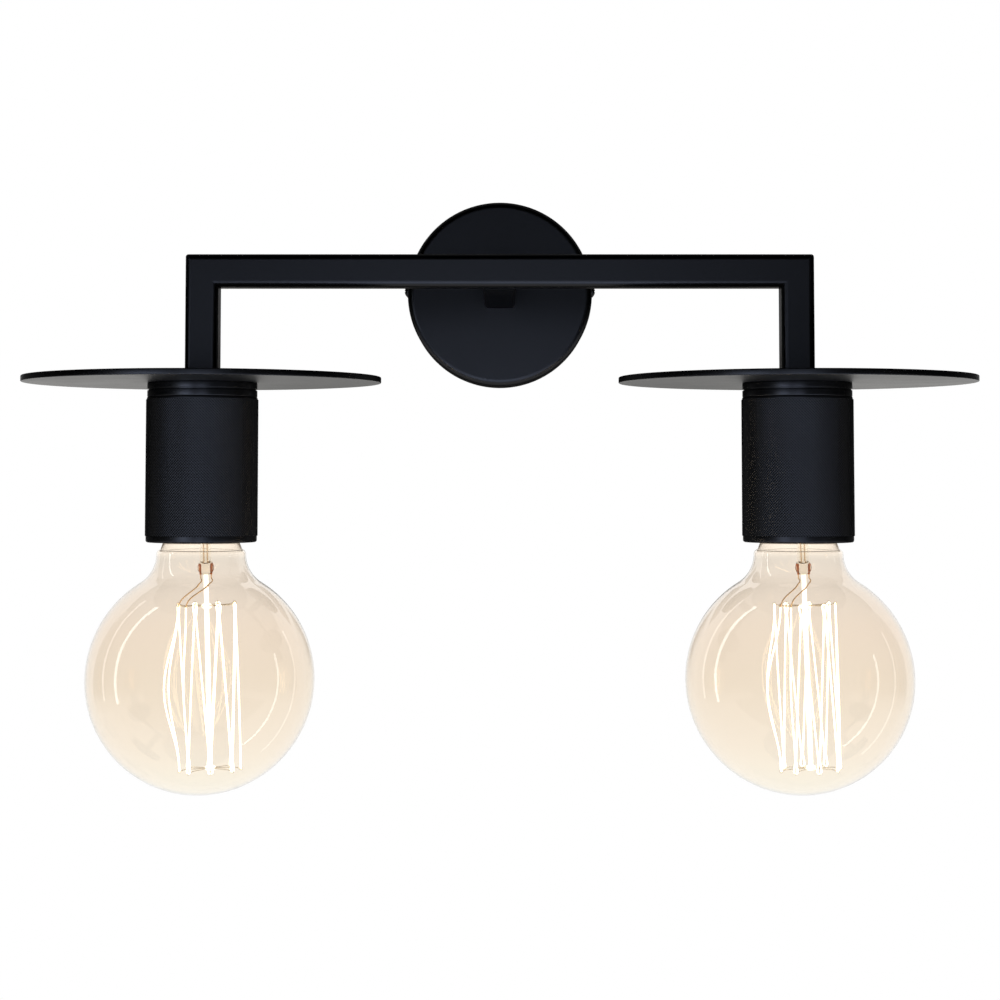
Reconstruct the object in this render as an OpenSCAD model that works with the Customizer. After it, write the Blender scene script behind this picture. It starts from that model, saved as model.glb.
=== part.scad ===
// Wall light with two lamps. A round backplate carries a square arm and a cross bar, and a drop
// tube at each end of the bar carries a flat disc, a knurled lampholder and a globe bulb.
// The origin is the backplate's centre on the wall. X runs along the bar, -Y leaves the wall
// and +Z is up.

/* [Tube frame] */
// Outside width of the square tube
tube_w = 13.8; // [12.4:0.1:15]
// Wall of the square tube
tube_wall = 1.2; // [0.9:0.1:1.3]
// Radius of the tube's outside corners
tube_corner = 1.6; // [1.4:0.1:2.4]
// Distance between the two lamp axes
lamp_pitch = 250; // [190:5:400]
// Distance from the wall to the lamp axes
reach = 134.5; // [115:0.5:200]
// Distance from the cross bar's centre down to the discs
drop = 44.5; // [32:0.5:90]

/* [Backplate] */
// Diameter of the backplate
plate_d = 87; // [84:0.5:120]
// Depth of the backplate from the wall to its front
plate_depth = 25; // [24:0.5:40]
// Sheet thickness of the backplate
plate_wall = 1.2; // [0.8:0.1:1.8]
// Radius of the backplate's front edge
plate_edge = 3; // [0.8:0.1:5]

/* [Wall bracket] */
// Sheet thickness of the bracket
strap_t = 1.5; // [1.2:0.1:2]
// Height of the bracket's strap
strap_w = 18; // [16:0.5:20]
// Outside radius of the bends into the ears
strap_bend = 3; // [2.5:0.1:4]
// Height of each ear
ear_w = 10; // [8:0.5:12]
// Distance from the wall to the tip of each ear
ear_reach = 17; // [16.5:0.5:19]
// Distance between the middles of the two wall slots
slot_pitch = 50; // [46:1:54]
// End-to-end length of each wall slot
slot_l = 14; // [8:1:16]
// Width of each wall slot
slot_w = 5; // [4:0.5:6]
// Diameter of the supply cable's hole
cable_hole_d = 12; // [9:0.5:14]

/* [Small screws] */
// Shank diameter of the side and earth screws
screw_d = 3.9; // [3:0.1:4]
// Head diameter of the side screws
side_head_d = 5.6; // [5:0.1:8]
// Head height of the side screws
side_head_h = 1.8; // [1.2:0.1:2.5]
// Height of the side screws above the backplate's centre
side_screw_z = 2; // [0:0.5:4]
// Distance from the wall to the side screws
side_screw_y = 12.5; // [11:0.5:14]
// Head diameter of the earth screw
earth_head_d = 7; // [6:0.5:8]
// Head height of the earth screw
earth_head_h = 2; // [1.5:0.1:2.5]

/* [Threaded ends] */
// Diameter of the threaded stubs on the plugs
stub_d = 9.8; // [9:0.1:9.9]
// Bore of the plugs
stub_bore = 7.4; // [7:0.1:7.6]
// Length of each plug inside its tube
plug_l = 12; // [6:0.5:18]
// Width of the nuts across their flats
nut_af = 14; // [13:0.5:17]
// Thickness of the arm's nut
arm_nut_t = 4; // [3:0.5:4.5]
// Thickness of the nut in the lampholder
lock_nut_t = 3; // [2:0.5:4]
// Thickness of the arm's washer
washer_t = 1; // [0.6:0.1:1.4]
// Length of stub that stands past each nut
stub_over = 1; // [0.5:0.1:1.5]

/* [Discs] */
// Diameter of each disc
disc_d = 150; // [80:1:180]
// Thickness of each disc
disc_t = 2.5; // [2:0.1:4]
// Radius of the disc's rim edges
disc_edge = 0.4; // [0.3:0.1:0.9]

/* [Lampholder] */
// Diameter of the grooved collar
collar_d = 45.9; // [44:0.1:50]
// Height of the grooved collar
collar_h = 6.1; // [5:0.1:9]
// Thickness of the holder cap's top
cap_top_t = 3; // [2:0.1:3.5]
// Depth of the collar's grooves
groove_depth = 0.5; // [0.2:0.1:0.8]
// Width of the collar's grooves
groove_w = 0.7; // [0.4:0.1:1]
// Diameter over the knurl
sleeve_d = 46.9; // [45.9:0.1:52]
// Length of the sleeve
sleeve_l = 60.6; // [56:0.1:62]
// Diameter of the plain lips at the sleeve's ends
lip_d = 46.2; // [44.6:0.1:50]
// Height of the plain lip at the bottom
lip_h = 2.7; // [1.5:0.1:5]
// Height of the plain lip at the top
top_lip_h = 1; // [0.5:0.1:2]
// Diameter of the thread that joins the cap and the sleeve
joint_d = 42; // [41.6:0.1:42.4]
// Length of the cap's threaded spigot
spigot_l = 8.9; // [8:0.1:11]
// Wall of the cap's threaded spigot
spigot_wall = 1.6; // [1.2:0.1:2]
// Bore of the sleeve below its ledge
sleeve_bore = 40; // [39.6:0.1:40.4]

/* [Socket] */
// Diameter of the insulating body
socket_d = 37.2; // [34:0.1:38.5]
// Length of the insulating body
socket_l = 43; // [42:0.5:45]
// Thickness of the flange that the spigot clamps
flange_t = 2; // [1.5:0.1:2.5]
// Distance from the top of the body to the floor's underside
floor_depth = 15; // [14:0.5:16]
// Depth of the dish that the terminals lie in
dish_depth = 4; // [3.5:0.1:5]
// Diameter of the dish that the terminals lie in
dish_d = 31; // [29:0.5:33]
// Sheet thickness of the contacts and the screw shell
contact_t = 0.6; // [0.4:0.1:0.7]
// Bore of the screw shell
shell_bore = 27; // [26.8:0.1:27.4]
// Length of the screw shell
shell_l = 26; // [22:0.5:27]
// Distance from the floor down to the pressed tongue's underside
tongue_drop = 3; // [2.4:0.1:3.4]
// Distance of the terminals from the lamp axis
terminal_x = 8; // [7:0.1:8.5]

/* [Bulb] */
// Diameter of the globe
globe_d = 95; // [80:1:125]
// Length of the bulb from its contact to its crown
bulb_l = 138; // [134:1:170]
// Diameter of the neck below the cap
neck_d = 37.2; // [34:0.1:38]
// Radius of the blend between the neck and the globe
neck_fillet = 14; // [8:0.5:18]
// Radius of the shoulder at the top of the neck
shoulder_r = 2; // [2:0.1:5]
// Thickness of the glass
glass_t = 0.8; // [0.5:0.1:1.2]
// Diameter of the bulb's threaded cap
cap_d = 26.2; // [25.8:0.1:26.3]
// Length of the bulb's cap from its contact to its rim
cap_l = 26.7; // [25:0.1:28]
// Sheet thickness of the bulb's cap
cap_t = 0.4; // [0.3:0.1:0.6]
// Diameter of the bulb's contact
button_d = 8; // [6:0.5:10]

/* [Cage mount] */
// Diameter of the ring that the filament stands on
cage_d = 25.4; // [18:0.2:28]
// Distance from the bulb's contact to the top of the cage
cage_top = 60; // [58:0.5:64]
// Height of the cage
cage_h = 67; // [40:1:70]
// Number of hooks in each ring
hooks = 8; // [6:1:10]
// Wire radius of the hooks
hook_r = 0.25; // [0.2:0.05:0.35]
// Wire radius of the filament
filament_r = 0.25; // [0.2:0.05:0.3]
// Wire radius of the lead wires
lead_r = 0.3; // [0.2:0.05:0.4]
// Lean of the mount from the bulb's axis, in degrees
mount_tilt = 1.7; // [0:0.1:2]
// Sideways shift of the stem's flare
mount_shift = 1.2; // [0:0.1:1.2]
// How far the slack strands bow out
bow = 6; // [2:0.5:8]
// Radius of the glass rod
rod_r = 1; // [0.7:0.1:1.3]

/* [Wiring] */
// Diameter of the flex
flex_d = 3.2; // [2.4:0.1:3.3]
// Diameter of the flex's cores
core_d = 1.6; // [1:0.1:1.8]
// Diameter of the earth wire
earth_d = 2.2; // [1.6:0.1:2.4]
// Bend radius of the wiring
wire_bend = 5; // [4.5:0.1:5.2]

/* [Hidden] */
$fn = 64;

// Clearances: around a thread or a pressed fit, and between a piece and what it rests on
thread_gap = 0.1;
seat_gap = 0.3;
// Overlap of the cutting shapes past a face
past = 1;

// Colours
coat = "#1b1d21";
zinc = "#b9bcc0";
brass = "#c8a24a";
glass_tint = [0.96, 0.86, 0.66, 0.35];
porcelain = "#ece8df";
nylon = "#f2f2ee";

// Tube frame
tube_bore = tube_w - 2 * tube_wall;
bore_corner = max(tube_corner - tube_wall, 0.3);
bar_half = lamp_pitch / 2 + tube_w / 2;
arm_l = reach - tube_w / 2 - plate_depth;
plug_w = tube_bore - 2 * thread_gap;

// Backplate and bracket
plate_r = plate_d / 2;
plate_bore = plate_r - plate_wall;
tapped_r = screw_d / 2 + thread_gap;
stub_hole_r = stub_d / 2 + thread_gap;
ear_low = side_screw_z - ear_w / 2;
ear_high = side_screw_z + ear_w / 2;
// The ears' upper corners stay clear of the cup's round wall
ear_x = sqrt(pow(plate_bore, 2) - pow(ear_high, 2)) - seat_gap;
slot_margin = 1;
strap_full_x = slot_pitch / 2 + slot_l / 2 + slot_margin;
slot_x = slot_pitch / 2;
tab_corner = 2;

// Terminal block on the upper tab
block_w = 24.6;
block_h = 16;
block_t = 11;
block_corner = 1;
block_rise = 1;
block_low = strap_w / 2 + block_rise;
pole_pitch = 8;
tab_w = 16;
tab_top = block_low + block_h + tab_corner;
block_mid = block_low + block_h / 2;
block_screw_d = 3;
block_head_d = 5.5;
block_head_h = 1.5;
pole_hole_d = 3.4;
pole_screw_d = 3.6;

// Earth terminal on the lower tab
earth_tab_w = 12;
earth_drop = 5;
earth_tail = 4;
earth_z = -strap_w / 2 - earth_drop;
earth_tab_low = earth_z - earth_tail;
tag_t = 0.8;
tag_ring = 2.4;
tag_tail_w = 3;
tag_tail_l = 5;
tag_y = -strap_t - tag_t / 2;

// Stack on the arm's stub, from the cup's inner face to the wall
stack_y = -plate_depth + plate_wall;
washer_y = stack_y + washer_t;
arm_tag_y = washer_y + tag_t;
arm_nut_y = arm_tag_y + arm_nut_t;
arm_stub_y = arm_nut_y + stub_over;
tooth_d = 2;
teeth = 12;
washer_d = nut_af + tooth_d;
arm_tag_r = stub_hole_r + tag_ring;

// Screw heads: their recess and dome as shares of the diameter and the height
head_dome = 0.62;
head_side = 0.33;
recess_l = 0.56;
recess_w = 0.1;
recess_floor = 0.55;
side_head_lift = 0.05;
shank_over = 2;

// Heights on the lamp axis
disc_top = -drop;
disc_low = disc_top - disc_t;
collar_low = disc_low - collar_h;
nut_top = disc_low - cap_top_t;
nut_low = nut_top - lock_nut_t;
stub_low = nut_low - stub_over;
spigot_low = collar_low - spigot_l;
ledge = spigot_low - flange_t;
sleeve_low = collar_low - sleeve_l;
floor_low = spigot_low - floor_depth;
dish_floor = spigot_low - dish_depth;
tongue_low = floor_low - tongue_drop;
bulb_tip = tongue_low - seat_gap;
edge = 0.4;
lip_edge = 1;
groove_from_low = 2.8;

// Holder's inner pieces
joint_r = joint_d / 2;
shell_r = shell_bore / 2 + contact_t;
pad_w = 6;
pad_top = dish_floor + contact_t;
terminal_d = 2.8;
terminal_head_d = 5;
terminal_head_h = 1.6;
terminal_l = 8;
rivet_d = 2.6;
tab_inset = 1.2;
tab_x = shell_bore / 2 - tab_inset;

// Sprung tongue of the centre contact: its foot, bend, turn and tip from the axis, and its curl
tongue_w = 5;
tongue_foot = 5;
tongue_bend = 2;
tongue_turn = 6;
tongue_tip = 4;
tongue_curl = 0.6;

// Wiring: the flexes' lanes, the split into cores and the cores' way to the terminals
lane_gap = 0.2;
core_gap = 0.05;
split_drop = 1;
core_straight = 2;
core_rise = 4;
core_bend = 1.2;
core_stop = 0.1;

// Bulb, measured down from its contact
globe_r = globe_d / 2;
globe_z = -(bulb_l - globe_r);
neck_r = neck_d / 2;
blend_x = neck_r + neck_fillet;
blend_z = globe_z + sqrt(pow(globe_r + neck_fillet, 2) - pow(blend_x, 2));
cap_r = cap_d / 2;
seal_r = cap_r - cap_t - thread_gap * 4;
seal_z = -16;
seal_low = -cap_l - thread_gap;
insulator_inset = 1.7;
insulator_r = cap_r - cap_t - insulator_inset;
insulator_low = -6;
button_h = 0.7;
cone_z = -3.9;
shell_top_z = -4.6;
shell_shoulder_z = -6.4;

// Stem and cage, measured down from the bulb's contact along the mount's own axis
flare_z = -18;
flare_r = seal_r - glass_t - mount_shift - seat_gap;
flare_l = 9.8;
stem_r = 2.4;
stem_bore_r = 1.5;
pinch_top = -41.4;
pinch_h = 6.2;
pinch_w = 7;
pinch_t = 3;
rod_top = pinch_top - pinch_h;
top_ring = -cage_top;
low_ring = -cage_top - cage_h;
button_r = 2.2;
button_t = 1.6;
cage_r = cage_d / 2;
hook_tip = cage_r - filament_r - seat_gap;
turn_r = 0.9;
weld_gap = 0.05;
// Angles of the first top hook, of the slack strands' side and from that hook to the filament's end
first_hook = 210.5;
slack_side = 200;
end_step = 25;
// Least bow that gives a strand its smooth curve
slack_least = 1.2;

// Lead wires: from the pinch they pass in front of the rod to the filament's two ends
lead_x = 2.2;
lead_start = 1.5;
lead_front = [0, -1.6, -1.7];
lead_bend = [2.2, 1.5, 4];
lead_top = 4;

// Vectors
function unit(v) = v / norm(v);
function flat(v, along) = unit(v - along * (v * along));

// Tangent of a path at each of its points
function heading(p, i) =
    i == 0 ? unit(p[1] - p[0]) :
    i == len(p) - 1 ? unit(p[i] - p[i - 1]) :
    unit(unit(p[i + 1] - p[i]) + unit(p[i] - p[i - 1]));

// One side vector at each point, carried along the path so that a tube doesn't twist
function carried(p, side) = [
    for (i = 0, n = flat(side, heading(p, 0)); i < len(p);
         i = i + 1, n = i < len(p) ? flat(n, heading(p, i)) : n) n
];

// A path through its corners, each rounded by an arc of the given number of steps
function rounded(c, r, steps) = [
    c[0],
    for (i = [1 : len(c) - 2])
        let (u = unit(c[i - 1] - c[i]))
        let (v = unit(c[i + 1] - c[i]))
        let (half = acos(max(-1, min(1, u * v))) / 2)
        let (mid = c[i] + unit(u + v) * r / sin(half))
        let (from = c[i] + u * r / tan(half))
        let (to = c[i] + v * r / tan(half))
        let (turn = 180 - 2 * half)
        for (k = [0 : steps])
            mid + ((from - mid) * sin(turn * (1 - k / steps))
                 + (to - mid) * sin(turn * k / steps)) / sin(turn),
    c[len(c) - 1]
];

// Closed tube of radius r swept along points
module swept(points, r, sides, side) {
    normals = carried(points, side);
    rings = [
        for (i = [0 : len(points) - 1])
            let (n = normals[i])
            let (b = cross(heading(points, i), n))
            for (k = [0 : sides - 1])
                points[i] + r * (n * cos(360 * k / sides) + b * sin(360 * k / sides))
    ];
    last = (len(points) - 1) * sides;
    walls = [
        for (i = [0 : len(points) - 2])
            for (k = [0 : sides - 1])
                let (a = i * sides + k)
                let (b = i * sides + (k + 1) % sides)
                each [[a, a + sides, b], [b, a + sides, b + sides]]
    ];
    start = [for (k = [0 : sides - 1]) k];
    end = [for (k = [sides - 1 : -1 : 0]) last + k];
    polyhedron(points = rings, faces = concat(walls, [start, end]), convexity = 10);
}

// Flat shapes
module rounded_square(w, h, r) {
    square([w - 2 * r, h], center = true);
    square([w, h - 2 * r], center = true);
    for (x = [-1, 1], y = [-1, 1])
        translate([x * (w / 2 - r), y * (h / 2 - r)]) circle(r);
}

module tube_section() {
    difference() {
        rounded_square(tube_w, tube_w, tube_corner);
        rounded_square(tube_bore, tube_bore, bore_corner);
    }
}

// Frames of reference
module at_lamp(side) translate([side * lamp_pitch / 2, -reach, 0]) children();
module at_bulb(side) at_lamp(side) translate([0, 0, bulb_tip]) children();
module at_mount(side)
    at_bulb(side)
        translate([mount_shift, 0, flare_z])
            rotate([0, -mount_tilt, 0])
                translate([0, 0, -flare_z]) children();

// Stands a cylinder or an outline along Y, from y upwards in the direction of the wall
module toward_wall(y) translate([0, y, 0]) rotate([-90, 0, 0]) children();

module wall_bracket() color(zinc) {
    difference() {
        intersection() {
            translate([0, 0, earth_tab_low])
                linear_extrude(tab_top - earth_tab_low) bracket_profile();
            translate([0, past, 0])
                rotate([90, 0, 0]) linear_extrude(ear_reach + 2 * past) bracket_outline();
        }
        for (s = [-1, 1]) {
            slot(s);
            translate([s * (ear_x + past), -side_screw_y, side_screw_z])
                rotate([0, -s * 90, 0]) cylinder(r = tapped_r, h = strap_t + 2 * past);
        }
        toward_wall(-strap_t - past) cylinder(d = cable_hole_d, h = strap_t + 2 * past);
        translate([0, 0, earth_z])
            toward_wall(-strap_t - past) cylinder(r = tapped_r, h = strap_t + 2 * past);
        translate([0, 0, block_mid])
            toward_wall(-strap_t - past)
                cylinder(d = block_screw_d + 2 * thread_gap, h = strap_t + 2 * past);
    }
}

// The bent strip seen from above
module bracket_profile() {
    translate([-(ear_x - strap_bend), -strap_t])
        square([2 * (ear_x - strap_bend), strap_t]);
    for (s = [-1, 1]) {
        translate([s * (ear_x - strap_bend), -strap_bend])
            intersection() {
                difference() {
                    circle(strap_bend);
                    circle(strap_bend - strap_t);
                }
                translate([s > 0 ? 0 : -strap_bend, 0]) square(strap_bend);
            }
        translate([s > 0 ? ear_x - strap_t : -ear_x, -ear_reach])
            square([strap_t, ear_reach - strap_bend]);
    }
}

// The bracket seen from the front: the strap, its tapered ends and the two tabs
module bracket_outline() {
    right = [
        [strap_full_x, -strap_w / 2], [ear_x - strap_bend, ear_low], [ear_x + past, ear_low],
        [ear_x + past, ear_high], [ear_x - strap_bend, ear_high], [strap_full_x, strap_w / 2]
    ];
    polygon(concat(right, [for (i = [len(right) - 1 : -1 : 0]) [-right[i].x, right[i].y]]));
    translate([0, tab_top / 2]) rounded_square(tab_w, tab_top, tab_corner);
    translate([0, earth_tab_low / 2]) rounded_square(earth_tab_w, -earth_tab_low, tab_corner);
}

module slot(side) {
    round_x = slot_l / 2 - slot_w / 2;
    for (x = [-round_x, round_x])
        translate([side * slot_x + x, 0, 0])
            toward_wall(-strap_t - past) cylinder(d = slot_w, h = strap_t + 2 * past);
    translate([side * slot_x - round_x, -strap_t - past, -slot_w / 2])
        cube([2 * round_x, strap_t + 2 * past, slot_w]);
}

module backplate() color(coat) {
    difference() {
        toward_wall(-plate_depth) rotate_extrude($fn = 128) plate_profile();
        for (s = [-1, 1])
            translate([s * (plate_r + past), -side_screw_y, side_screw_z])
                rotate([0, -s * 90, 0])
                    cylinder(r = screw_d / 2 + seat_gap, h = plate_wall + 3 * past);
    }
}

// Half of the spun cup: its front is at zero and its open back at plate_depth
module plate_profile() {
    inner = max(plate_edge - plate_wall, 0);
    difference() {
        union() {
            translate([stub_hole_r, 0])
                square([plate_r - plate_edge - stub_hole_r, plate_depth]);
            translate([stub_hole_r, plate_edge])
                square([plate_r - stub_hole_r, plate_depth - plate_edge]);
            translate([plate_r - plate_edge, plate_edge]) circle(plate_edge);
        }
        translate([0, plate_wall + inner])
            square([plate_bore, plate_depth + past]);
        if (inner > 0) {
            translate([0, plate_wall])
                square([plate_bore - inner, plate_depth + past]);
            translate([plate_bore - inner, plate_wall + inner]) circle(inner);
        }
    }
}

module side_screws() color(coat)
    for (s = [-1, 1])
        translate([s * (plate_r + side_head_lift), -side_screw_y, side_screw_z])
            rotate([0, s * 90, 0]) {
                domed_head(side_head_d, side_head_h);
                translate([0, 0, -(plate_r - ear_x) - strap_t - shank_over])
                    cylinder(d = screw_d, h = (plate_r - ear_x) + strap_t + shank_over);
            }

// Screw head with its flat on zero and a domed top, with a cross recess
module domed_head(d, h) {
    difference() {
        rotate_extrude()
            intersection() {
                square([d / 2, h]);
                union() {
                    square([d / 2, h * head_side]);
                    translate([0, h - d * head_dome]) circle(d * head_dome);
                }
            }
        for (a = [0, 90])
            rotate(a)
                translate([-d * recess_l / 2, -d * recess_w / 2, h * recess_floor])
                    cube([d * recess_l, d * recess_w, h]);
    }
}

module earth_screw() color(brass)
    translate([0, 0, earth_z])
        rotate([90, 0, 0]) {
            translate([0, 0, strap_t + tag_t]) domed_head(earth_head_d, earth_head_h);
            translate([0, 0, seat_gap])
                cylinder(d = screw_d, h = strap_t + tag_t - seat_gap);
        }

module ring_tag(inner, outer) {
    difference() {
        union() {
            cylinder(r = outer, h = tag_t);
            translate([-tag_tail_w / 2, inner, 0])
                cube([tag_tail_w, outer - inner + tag_tail_l, tag_t]);
        }
        translate([0, 0, -past]) cylinder(r = inner, h = tag_t + 2 * past);
    }
}

module earth_lead() {
    tail_arm = -arm_tag_r - tag_tail_l;
    tail_earth = earth_z - tapped_r - tag_ring - tag_tail_l;
    sag = tail_earth - wire_bend - 1;
    color(zinc) {
        translate([0, washer_y, 0]) rotate([-90, 0, 0]) ring_tag(stub_hole_r, arm_tag_r);
        translate([0, -strap_t - tag_t, earth_z])
            rotate([-90, 0, 0]) ring_tag(tapped_r, tapped_r + tag_ring);
    }
    color("#7fae3a")
        swept(rounded([
            [0, washer_y + tag_t / 2, tail_arm],
            [0, washer_y + tag_t / 2, sag],
            [0, tag_y, sag],
            [0, tag_y, tail_earth]
        ], wire_bend, 5), earth_d / 2, 8, [1, 0, 0]);
}

module terminal_block() color(nylon) {
    difference() {
        translate([0, -strap_t - block_t / 2, block_mid])
            rotate([90, 0, 0])
                linear_extrude(block_t, center = true)
                    rounded_square(block_w, block_h, block_corner);
        for (x = [-pole_pitch, pole_pitch])
            translate([x, -strap_t - block_t / 2, 0]) {
                translate([0, 0, block_low - past])
                    cylinder(d = pole_hole_d, h = block_h + 2 * past);
                for (z = [-1, 1])
                    translate([0, -block_t / 2 - past, block_mid + z * block_h / 4])
                        rotate([-90, 0, 0])
                            cylinder(d = pole_screw_d, h = block_t / 2 - past);
            }
        translate([0, 0, block_mid]) {
            toward_wall(-strap_t - block_t - past)
                cylinder(d = block_head_d + 4 * thread_gap, h = block_t / 2 + past);
            toward_wall(-strap_t - block_t)
                cylinder(d = block_screw_d + 2 * thread_gap, h = block_t + past);
        }
    }
}

module block_screw() color(zinc)
    translate([0, -strap_t - block_t / 2, block_mid])
        rotate([90, 0, 0]) {
            domed_head(block_head_d, block_head_h);
            translate([0, 0, -block_t / 2 - strap_t + seat_gap])
                cylinder(d = block_screw_d, h = block_t / 2 + strap_t - seat_gap);
        }

module arm_tube() color(coat)
    toward_wall(-plate_depth - arm_l) linear_extrude(arm_l) tube_section();

// Square plug with a threaded stub: z is zero at the tube's end, the stub stands up
module threaded_plug(stub_l) {
    difference() {
        union() {
            translate([0, 0, -plug_l])
                linear_extrude(plug_l) rounded_square(plug_w, plug_w, bore_corner);
            cylinder(d = stub_d, h = stub_l);
        }
        translate([0, 0, -plug_l - past]) cylinder(d = stub_bore, h = plug_l + stub_l + 2 * past);
    }
}

module hex_nut(t) {
    difference() {
        cylinder(d = nut_af / cos(30), h = t, $fn = 6);
        translate([0, 0, -past]) cylinder(r = stub_hole_r, h = t + 2 * past);
    }
}

module arm_plug() color(zinc)
    toward_wall(-plate_depth) threaded_plug(arm_stub_y + plate_depth);

module arm_washer() color(zinc)
    toward_wall(stack_y)
        difference() {
            cylinder(d = washer_d, h = washer_t);
            translate([0, 0, -past]) cylinder(r = stub_hole_r, h = washer_t + 2 * past);
            for (i = [0 : teeth - 1])
                rotate(i * 360 / teeth) translate([washer_d / 2, 0, -past])
                    cylinder(d = tooth_d, h = washer_t + 2 * past);
        }

module arm_locknut() color(zinc) toward_wall(arm_tag_y) hex_nut(arm_nut_t);

module cross_bar() color(coat) {
    inner = bar_half - tube_w;
    difference() {
        intersection() {
            translate([-bar_half, -reach, 0])
                rotate([90, 0, 90]) linear_extrude(2 * bar_half) tube_section();
            translate([0, -reach + tube_w, 0])
                rotate([90, 0, 0])
                    linear_extrude(2 * tube_w)
                        polygon([
                            [-bar_half, tube_w / 2], [bar_half, tube_w / 2],
                            [inner, -tube_w / 2], [-inner, -tube_w / 2]
                        ]);
        }
        toward_wall(-reach) cylinder(r = stub_hole_r - seat_gap, h = tube_w);
    }
}

module drop_tube(side) color(coat)
    at_lamp(side)
        intersection() {
            translate([0, 0, -drop]) linear_extrude(drop + tube_w / 2) tube_section();
            translate([0, tube_w, 0])
                rotate([90, 0, 0])
                    linear_extrude(2 * tube_w)
                        polygon([
                            [-side * tube_w / 2, -tube_w / 2], [side * tube_w / 2, tube_w / 2],
                            [side * tube_w / 2, -drop], [-side * tube_w / 2, -drop]
                        ]);
        }

module drop_plug(side) color(zinc)
    at_lamp(side) translate([0, 0, disc_top]) mirror([0, 0, 1]) threaded_plug(disc_top - stub_low);

module disc_shade(side) color(coat)
    at_lamp(side)
        translate([0, 0, disc_low])
            rotate_extrude($fn = 180) {
                translate([stub_hole_r, 0]) square([disc_d / 2 - disc_edge - stub_hole_r, disc_t]);
                translate([stub_hole_r, disc_edge])
                    square([disc_d / 2 - stub_hole_r, disc_t - 2 * disc_edge]);
                for (z = [disc_edge, disc_t - disc_edge])
                    translate([disc_d / 2 - disc_edge, z]) circle(disc_edge);
            }

module lock_nut(side) color(zinc) at_lamp(side) translate([0, 0, nut_low]) hex_nut(lock_nut_t);

module holder_cap(side) color(coat)
    at_lamp(side)
        rotate_extrude($fn = 128)
            difference() {
                union() {
                    polygon([
                        [stub_hole_r, collar_low], [collar_d / 2 - edge, collar_low],
                        [collar_d / 2, collar_low + edge], [collar_d / 2, disc_low - edge],
                        [collar_d / 2 - edge, disc_low], [stub_hole_r, disc_low]
                    ]);
                    translate([joint_r - spigot_wall, spigot_low])
                        square([spigot_wall, spigot_l + edge]);
                }
                translate([0, spigot_low - past])
                    square([joint_r - spigot_wall, nut_top - spigot_low + past]);
                translate([collar_d / 2 - groove_depth, collar_low + groove_from_low])
                    square([groove_depth + past, groove_w]);
            }

module knurled_sleeve(side) color(coat)
    at_lamp(side)
        rotate_extrude($fn = 128)
            difference() {
                union() {
                    polygon([
                        [0, sleeve_low], [lip_d / 2 - lip_edge, sleeve_low],
                        [lip_d / 2, sleeve_low + lip_edge], [lip_d / 2, sleeve_low + lip_h],
                        [sleeve_d / 2, sleeve_low + lip_h], [sleeve_d / 2, collar_low - top_lip_h],
                        [lip_d / 2, collar_low - top_lip_h], [lip_d / 2, collar_low - edge],
                        [lip_d / 2 - edge, collar_low], [0, collar_low]
                    ]);
                    translate([lip_d / 2 - lip_edge, sleeve_low + lip_edge]) circle(lip_edge);
                }
                translate([0, ledge])
                    square([joint_r + thread_gap, collar_low - ledge + past]);
                translate([0, sleeve_low - past])
                    square([sleeve_bore / 2, sleeve_l + past]);
            }

module socket_body(side) color(porcelain)
    at_lamp(side)
        difference() {
            union() {
                translate([0, 0, spigot_low - socket_l]) cylinder(d = socket_d, h = socket_l);
                translate([0, 0, ledge]) cylinder(r = joint_r - thread_gap, h = flange_t);
            }
            translate([0, 0, dish_floor]) cylinder(d = dish_d, h = dish_depth + past);
            translate([0, 0, spigot_low - socket_l - past])
                cylinder(r = shell_r + thread_gap, h = socket_l - floor_depth + past);
            translate([0, 0, floor_low - past])
                cylinder(d = rivet_d + 2 * thread_gap, h = floor_depth + past);
            for (s = [-1, 1])
                translate([s * terminal_x, 0, dish_floor - terminal_l - seat_gap])
                    cylinder(d = terminal_d + 2 * thread_gap, h = terminal_l + past);
            translate([tab_x - contact_t / 2 - thread_gap, -pad_w / 2 - thread_gap, floor_low - past])
                cube([contact_t + 2 * thread_gap, pad_w + 2 * thread_gap, floor_depth]);
        }

// Brass pad under a terminal screw, from x0 to x1
module pad(x0, x1) {
    difference() {
        translate([min(x0, x1), -pad_w / 2, dish_floor])
            cube([abs(x1 - x0), pad_w, contact_t]);
        translate([sign(x0 + x1) * terminal_x, 0, dish_floor - past])
            cylinder(d = terminal_d + 2 * thread_gap, h = contact_t + 2 * past);
    }
}

module screw_shell(side) color(brass)
    at_lamp(side) {
        rotate_extrude() {
            translate([shell_bore / 2, floor_low - shell_l]) square([contact_t, shell_l]);
            translate([tab_x - contact_t, floor_low - contact_t])
                square([shell_r - tab_x + contact_t, contact_t]);
        }
        translate([tab_x - contact_t / 2, -pad_w / 2, floor_low - contact_t])
            cube([contact_t, pad_w, dish_floor + 2 * contact_t - floor_low]);
        pad(terminal_x - pad_w / 2, tab_x + contact_t / 2);
    }

module centre_contact(side) color(brass)
    at_lamp(side) {
        pad(-terminal_x - pad_w / 2, rivet_d / 2);
        translate([0, 0, floor_low - contact_t])
            cylinder(d = rivet_d, h = dish_floor + contact_t - floor_low + contact_t);
        rotate([90, 0, 0])
            linear_extrude(tongue_w, center = true)
                polygon([
                    [-tongue_foot, floor_low], [tongue_bend, floor_low],
                    [tongue_turn, tongue_low + contact_t + tongue_curl],
                    [tongue_turn, tongue_low + tongue_curl], [0, tongue_low],
                    [-tongue_tip, tongue_low + tongue_curl],
                    [-tongue_tip, tongue_low + contact_t + tongue_curl],
                    [0, tongue_low + contact_t],
                    [tongue_tip, tongue_low + contact_t + tongue_curl * tongue_tip / tongue_turn],
                    [tongue_bend - contact_t, floor_low - contact_t],
                    [-tongue_foot, floor_low - contact_t]
                ]);
    }

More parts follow.
